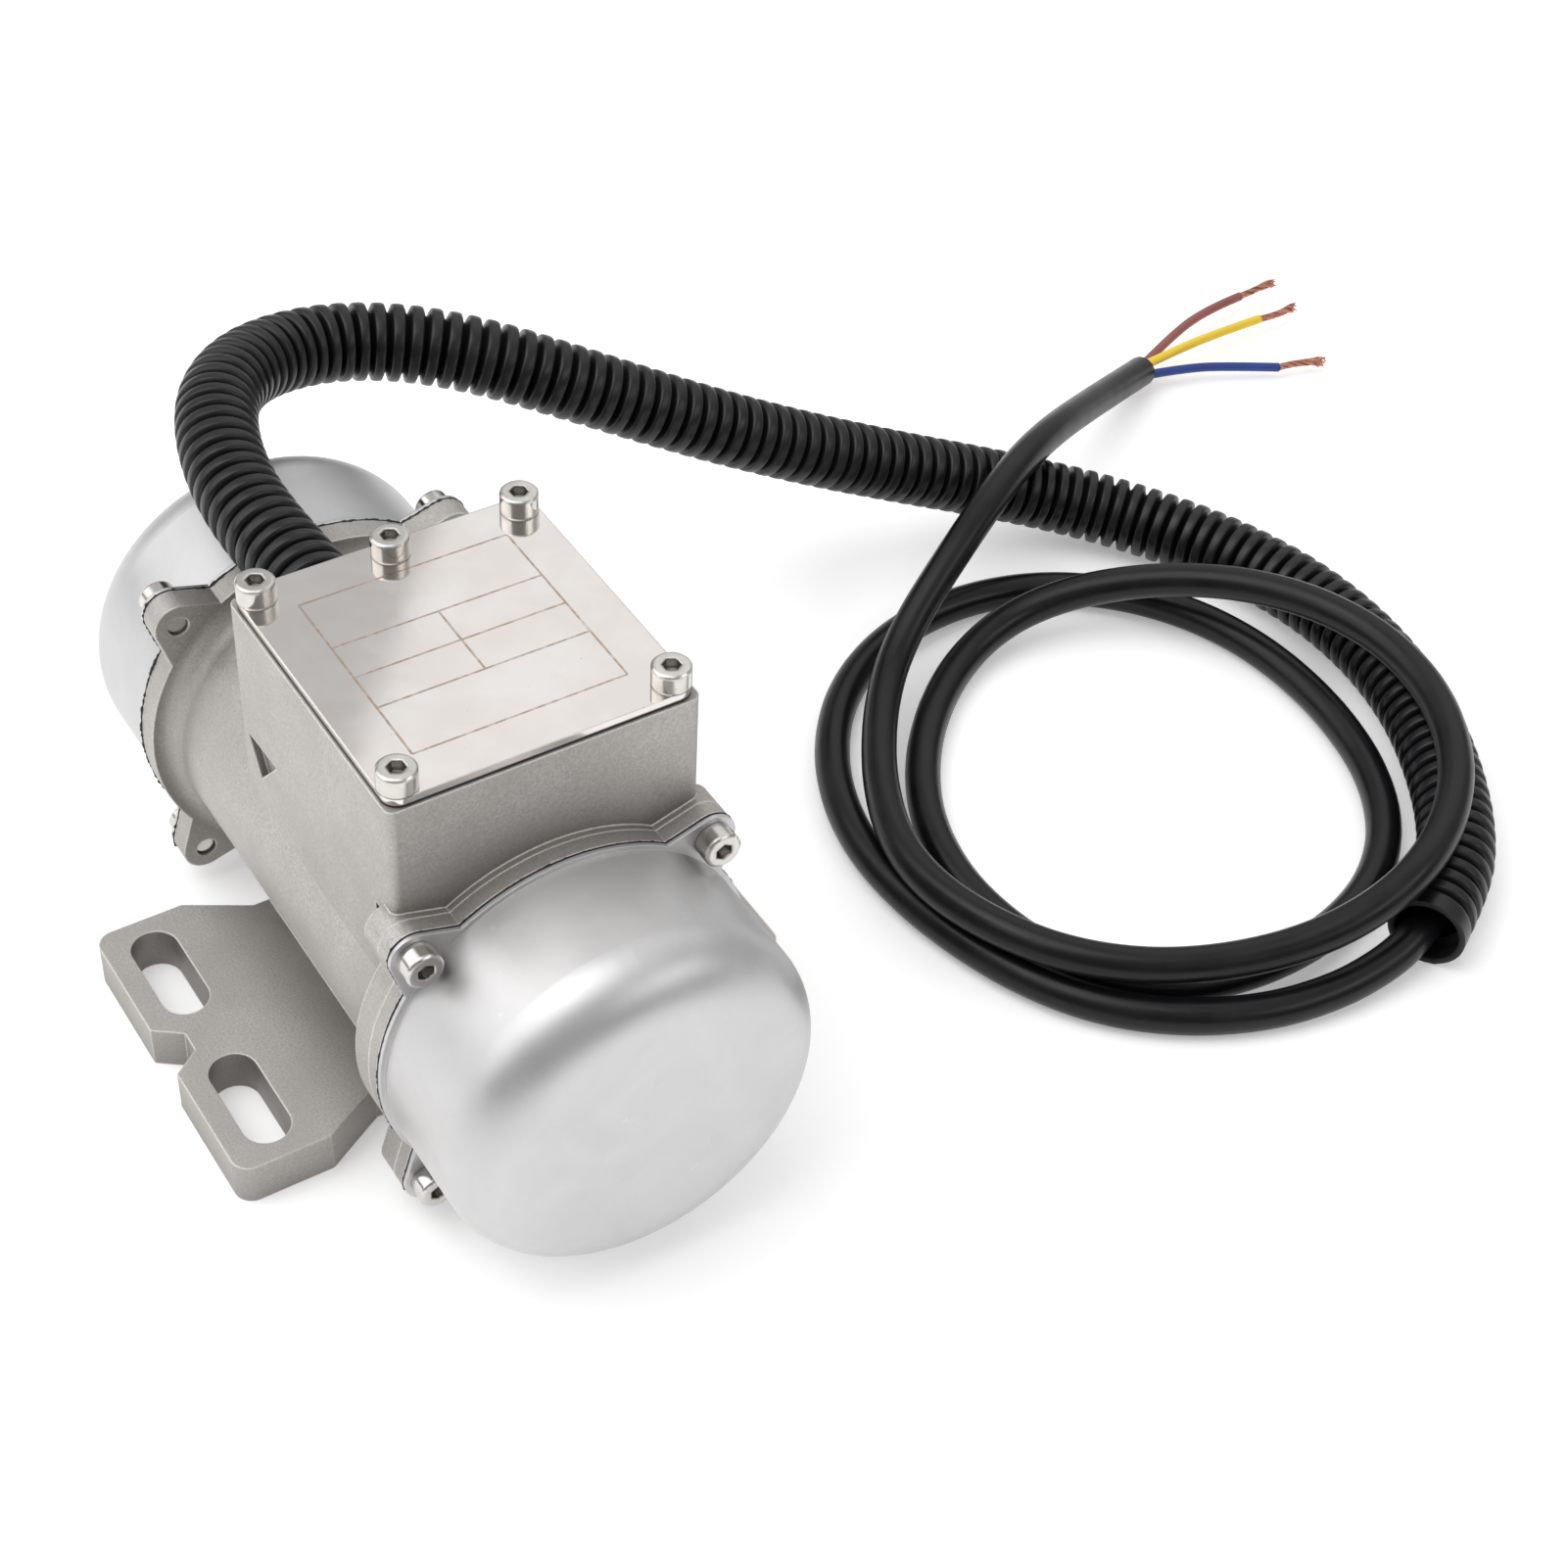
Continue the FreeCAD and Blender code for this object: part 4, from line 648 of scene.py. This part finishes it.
def make_cords():
    """The hose, the three-core lead that comes out of it, and the lead's stripped end."""
    make_conduit()
    cable = route_curve("lead_cable", CABLE_ROUTE, CABLE_DIAMETER / 2)
    finish_piece(cable, "cable_black", "frame", "cable")
    strands = make_strands()
    for colour, route in CORE_ROUTES.items():
        core = route_curve(f"lead_core_{colour}", route, CORE_DIAMETER / 2)
        slot = "core_yellow_green" if colour == "earth" else f"core_{colour}"
        finish_piece(core, slot, "frame", f"core_{colour}")
        spline_length(route)
    spline_length(CABLE_ROUTE)


# ---------------------------------------------------------------- sealant

FLANGE_RADIUS = 0.0362
OUTLINE_MARGIN = 0.0002
SCREW_CIRCLE = 0.04
HOLE_REACH = 0.0026
SEALANT_STEP = 0.0006
SEALANT_SEGMENTS = 6
LUMP_SHARE = 0.8
SEALANT_RADII = {"rear": (0.00008, 0.00038), "front": (0.00006, 0.00018)}
RADIAL_WANDER = (-0.0001, 0.00012)
AXIAL_WANDER = (-0.00012, 0.00012)


def flange_outline(node):
    """The outer edge of a gasket's face as points in order round the shaft."""
    low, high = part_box(node)
    middle = (low.x + high.x) / 2
    holes = [Vector((SCREW_CIRCLE * math.cos(angle), SCREW_CIRCLE * math.sin(angle)))
             for angle in (math.radians(45 + 90 * quarter) for quarter in range(4))]
    mesh_object = NODES[node]
    edge = {}
    for vertex in mesh_object.data.vertices:
        place = mesh_object.matrix_world @ vertex.co
        flat = Vector((place.y, place.z - SHAFT_HEIGHT))
        nearest_hole = min((flat - hole).length for hole in holes)
        if flat.length < FLANGE_RADIUS - OUTLINE_MARGIN or nearest_hole < HOLE_REACH:
            continue
        angle = round(math.atan2(flat.y, flat.x), 4)
        if angle not in edge or flat.length > edge[angle].length:
            edge[angle] = flat
    ordered = [edge[angle] for angle in sorted(edge)]
    return [Vector((middle, flat.x, SHAFT_HEIGHT + flat.y)) for flat in ordered + ordered[:1]]


def make_sealant(side, least, most):
    """An uneven squeezed-out line of sealant round the seam under a cap."""
    randomly = random.Random(11)
    places = evenly(flange_outline(f"{side}_cap_gasket"), SEALANT_STEP)
    radii = []
    for _ in places:
        lump = randomly.uniform(least, most)
        radii.append(lump if randomly.random() < LUMP_SHARE else least)
    for place in places:
        outwards = Vector((0.0, place.y, place.z - SHAFT_HEIGHT)).normalized()
        place += outwards * randomly.uniform(*RADIAL_WANDER)
        place.x += randomly.uniform(*AXIAL_WANDER)
    bead = swept_mesh(f"{side}_sealant", places, radii, SEALANT_SEGMENTS)
    finish_piece(bead, "gasket_rubber", "frame")


# ---------------------------------------------------------------- studio

CAMERA_AZIMUTH = math.radians(55.55)
CAMERA_ELEVATION = math.radians(43.37)
CAMERA_ROLL = math.radians(3.49)
CAMERA_PLACE = (0.35314, -0.16507, 0.41896)
CAMERA_LENS = 67.5
SENSOR_WIDTH = 36.0
CLIP_START = 0.01

FLOOR_SIZE = 12.0
FLOOR_GLOW = 0.3
BACKGROUND = 0.77
HORIZON_LIGHT = 0.4
HIGH_LIGHT = 0.7
FRONT_LIGHT = 0.45
CARD_SHADE = 0.4
STUDIO_CENTRE = (0.0, 0.05, 0.05)
# name, place, size in metres, watts
PANELS = [
    ("key", (-0.55, -1.0, 1.05), (1.8, 1.8), 13),
    ("edge", (0.9, 0.6, 0.8), (1.0, 0.25), 1.9),
    ("top", (0.0, -0.25, 1.3), (0.9, 0.9), 4.5),
    ("back", (-0.487, 0.764, 0.9), (1.1, 0.9), 1.3),
]


def make_camera():
    camera = bpy.data.objects.new("camera", bpy.data.cameras.new("camera"))
    camera.data.lens = CAMERA_LENS
    camera.data.sensor_width = SENSOR_WIDTH
    camera.data.clip_start = CLIP_START
    back = Vector((math.sin(CAMERA_AZIMUTH) * math.cos(CAMERA_ELEVATION),
                   -math.cos(CAMERA_AZIMUTH) * math.cos(CAMERA_ELEVATION), math.sin(CAMERA_ELEVATION)))
    level = Vector((math.cos(CAMERA_AZIMUTH), math.sin(CAMERA_AZIMUTH), 0.0))
    upright = back.cross(level)
    right = level * math.cos(CAMERA_ROLL) + upright * math.sin(CAMERA_ROLL)
    up = upright * math.cos(CAMERA_ROLL) - level * math.sin(CAMERA_ROLL)
    turn = Matrix((right, up, back)).transposed()
    camera.matrix_world = Matrix.Translation(CAMERA_PLACE) @ turn.to_4x4()
    bpy.context.scene.collection.objects.link(camera)
    bpy.context.scene.camera = camera


def add_panel(name, place, size, power):
    """A soft box that shines at the middle of the studio."""
    light = bpy.data.lights.new(name, "AREA")
    light.shape = "RECTANGLE"
    light.size, light.size_y = size
    light.energy = power
    panel = bpy.data.objects.new(name, light)
    panel.location = place
    aim = Vector(STUDIO_CENTRE) - Vector(place)
    panel.rotation_euler = aim.to_track_quat("-Z", "Y").to_euler()
    bpy.context.scene.collection.objects.link(panel)


def make_floor():
    bpy.ops.mesh.primitive_plane_add(size=FLOOR_SIZE, location=(0, 0, 0))
    floor = bpy.context.object
    floor.name = "floor"
    paper = Shader("paper")
    paper.set(Base_Color=(0.9, 0.9, 0.9, 1.0), Roughness=0.95, Emission_Color=(1.0, 1.0, 1.0, 1.0),
              Emission_Strength=FLOOR_GLOW, Specular_IOR_Level=0.1)
    floor.data.materials.append(paper.material)


def make_world():
    """A grey surround, dimmer towards the camera's side and behind two low cards beside its view."""
    bpy.context.scene.world = bpy.data.worlds.new("studio")
    bpy.context.scene.world.use_nodes = True
    tree = bpy.context.scene.world.node_tree

    def ramp(source, low, high, start, end):
        node = tree.nodes.new("ShaderNodeMapRange")
        tree.links.new(source, node.inputs["Value"])
        node.inputs["From Min"].default_value = low
        node.inputs["From Max"].default_value = high
        node.inputs["To Min"].default_value = start
        node.inputs["To Max"].default_value = end
        return node.outputs["Result"]

    def maths(operation, first, second):
        node = tree.nodes.new("ShaderNodeMath")
        node.operation = operation
        for value, socket in zip((first, second), node.inputs):
            if isinstance(value, float):
                socket.default_value = value
            else:
                tree.links.new(value, socket)
        return node.outputs[0]

    direction = tree.nodes.new("ShaderNodeTexCoord").outputs["Generated"]

    def along(heading):
        """How far the direction looked in agrees with a heading, from -1 to 1."""
        node = tree.nodes.new("ShaderNodeVectorMath")
        node.operation = "DOT_PRODUCT"
        tree.links.new(direction, node.inputs[0])
        node.inputs[1].default_value = heading
        return node.outputs["Value"]

    parts = tree.nodes.new("ShaderNodeSeparateXYZ")
    tree.links.new(direction, parts.inputs["Vector"])
    height = parts.outputs["Z"]
    sideways = along((math.cos(CAMERA_AZIMUTH), math.sin(CAMERA_AZIMUTH), 0.0))
    towards = along((math.sin(CAMERA_AZIMUTH), -math.cos(CAMERA_AZIMUTH), 0.0))
    aside = ramp(maths("ABSOLUTE", sideways, 0.0), 0.5, 0.72, 0.0, 1.0)
    low = ramp(height, 0.5, 0.25, 0.0, 1.0)
    cards = maths("MULTIPLY", maths("MULTIPLY", aside, low), -CARD_SHADE)
    sky = ramp(height, 0.0, 0.8, HORIZON_LIGHT, HIGH_LIGHT)
    front = ramp(towards, 0.1, 0.8, 1.0, FRONT_LIGHT)
    lit = maths("MULTIPLY", maths("MULTIPLY", sky, front), maths("ADD", cards, 1.0))
    seen = tree.nodes.new("ShaderNodeMix")
    camera_ray = tree.nodes.new("ShaderNodeLightPath").outputs["Is Camera Ray"]
    tree.links.new(camera_ray, seen.inputs["Factor"])
    tree.links.new(lit, seen.inputs["A"])
    seen.inputs["B"].default_value = BACKGROUND
    tree.links.new(seen.outputs["Result"], tree.nodes["Background"].inputs["Color"])


dress_nodes()
make_cords()
for side, (least, most) in SEALANT_RADII.items():
    make_sealant(side, least, most)
make_camera()
make_floor()
make_world()
for name, place, size, power in PANELS:
    add_panel(name, place, size, power)
bpy.context.scene.view_settings.view_transform = "Standard"
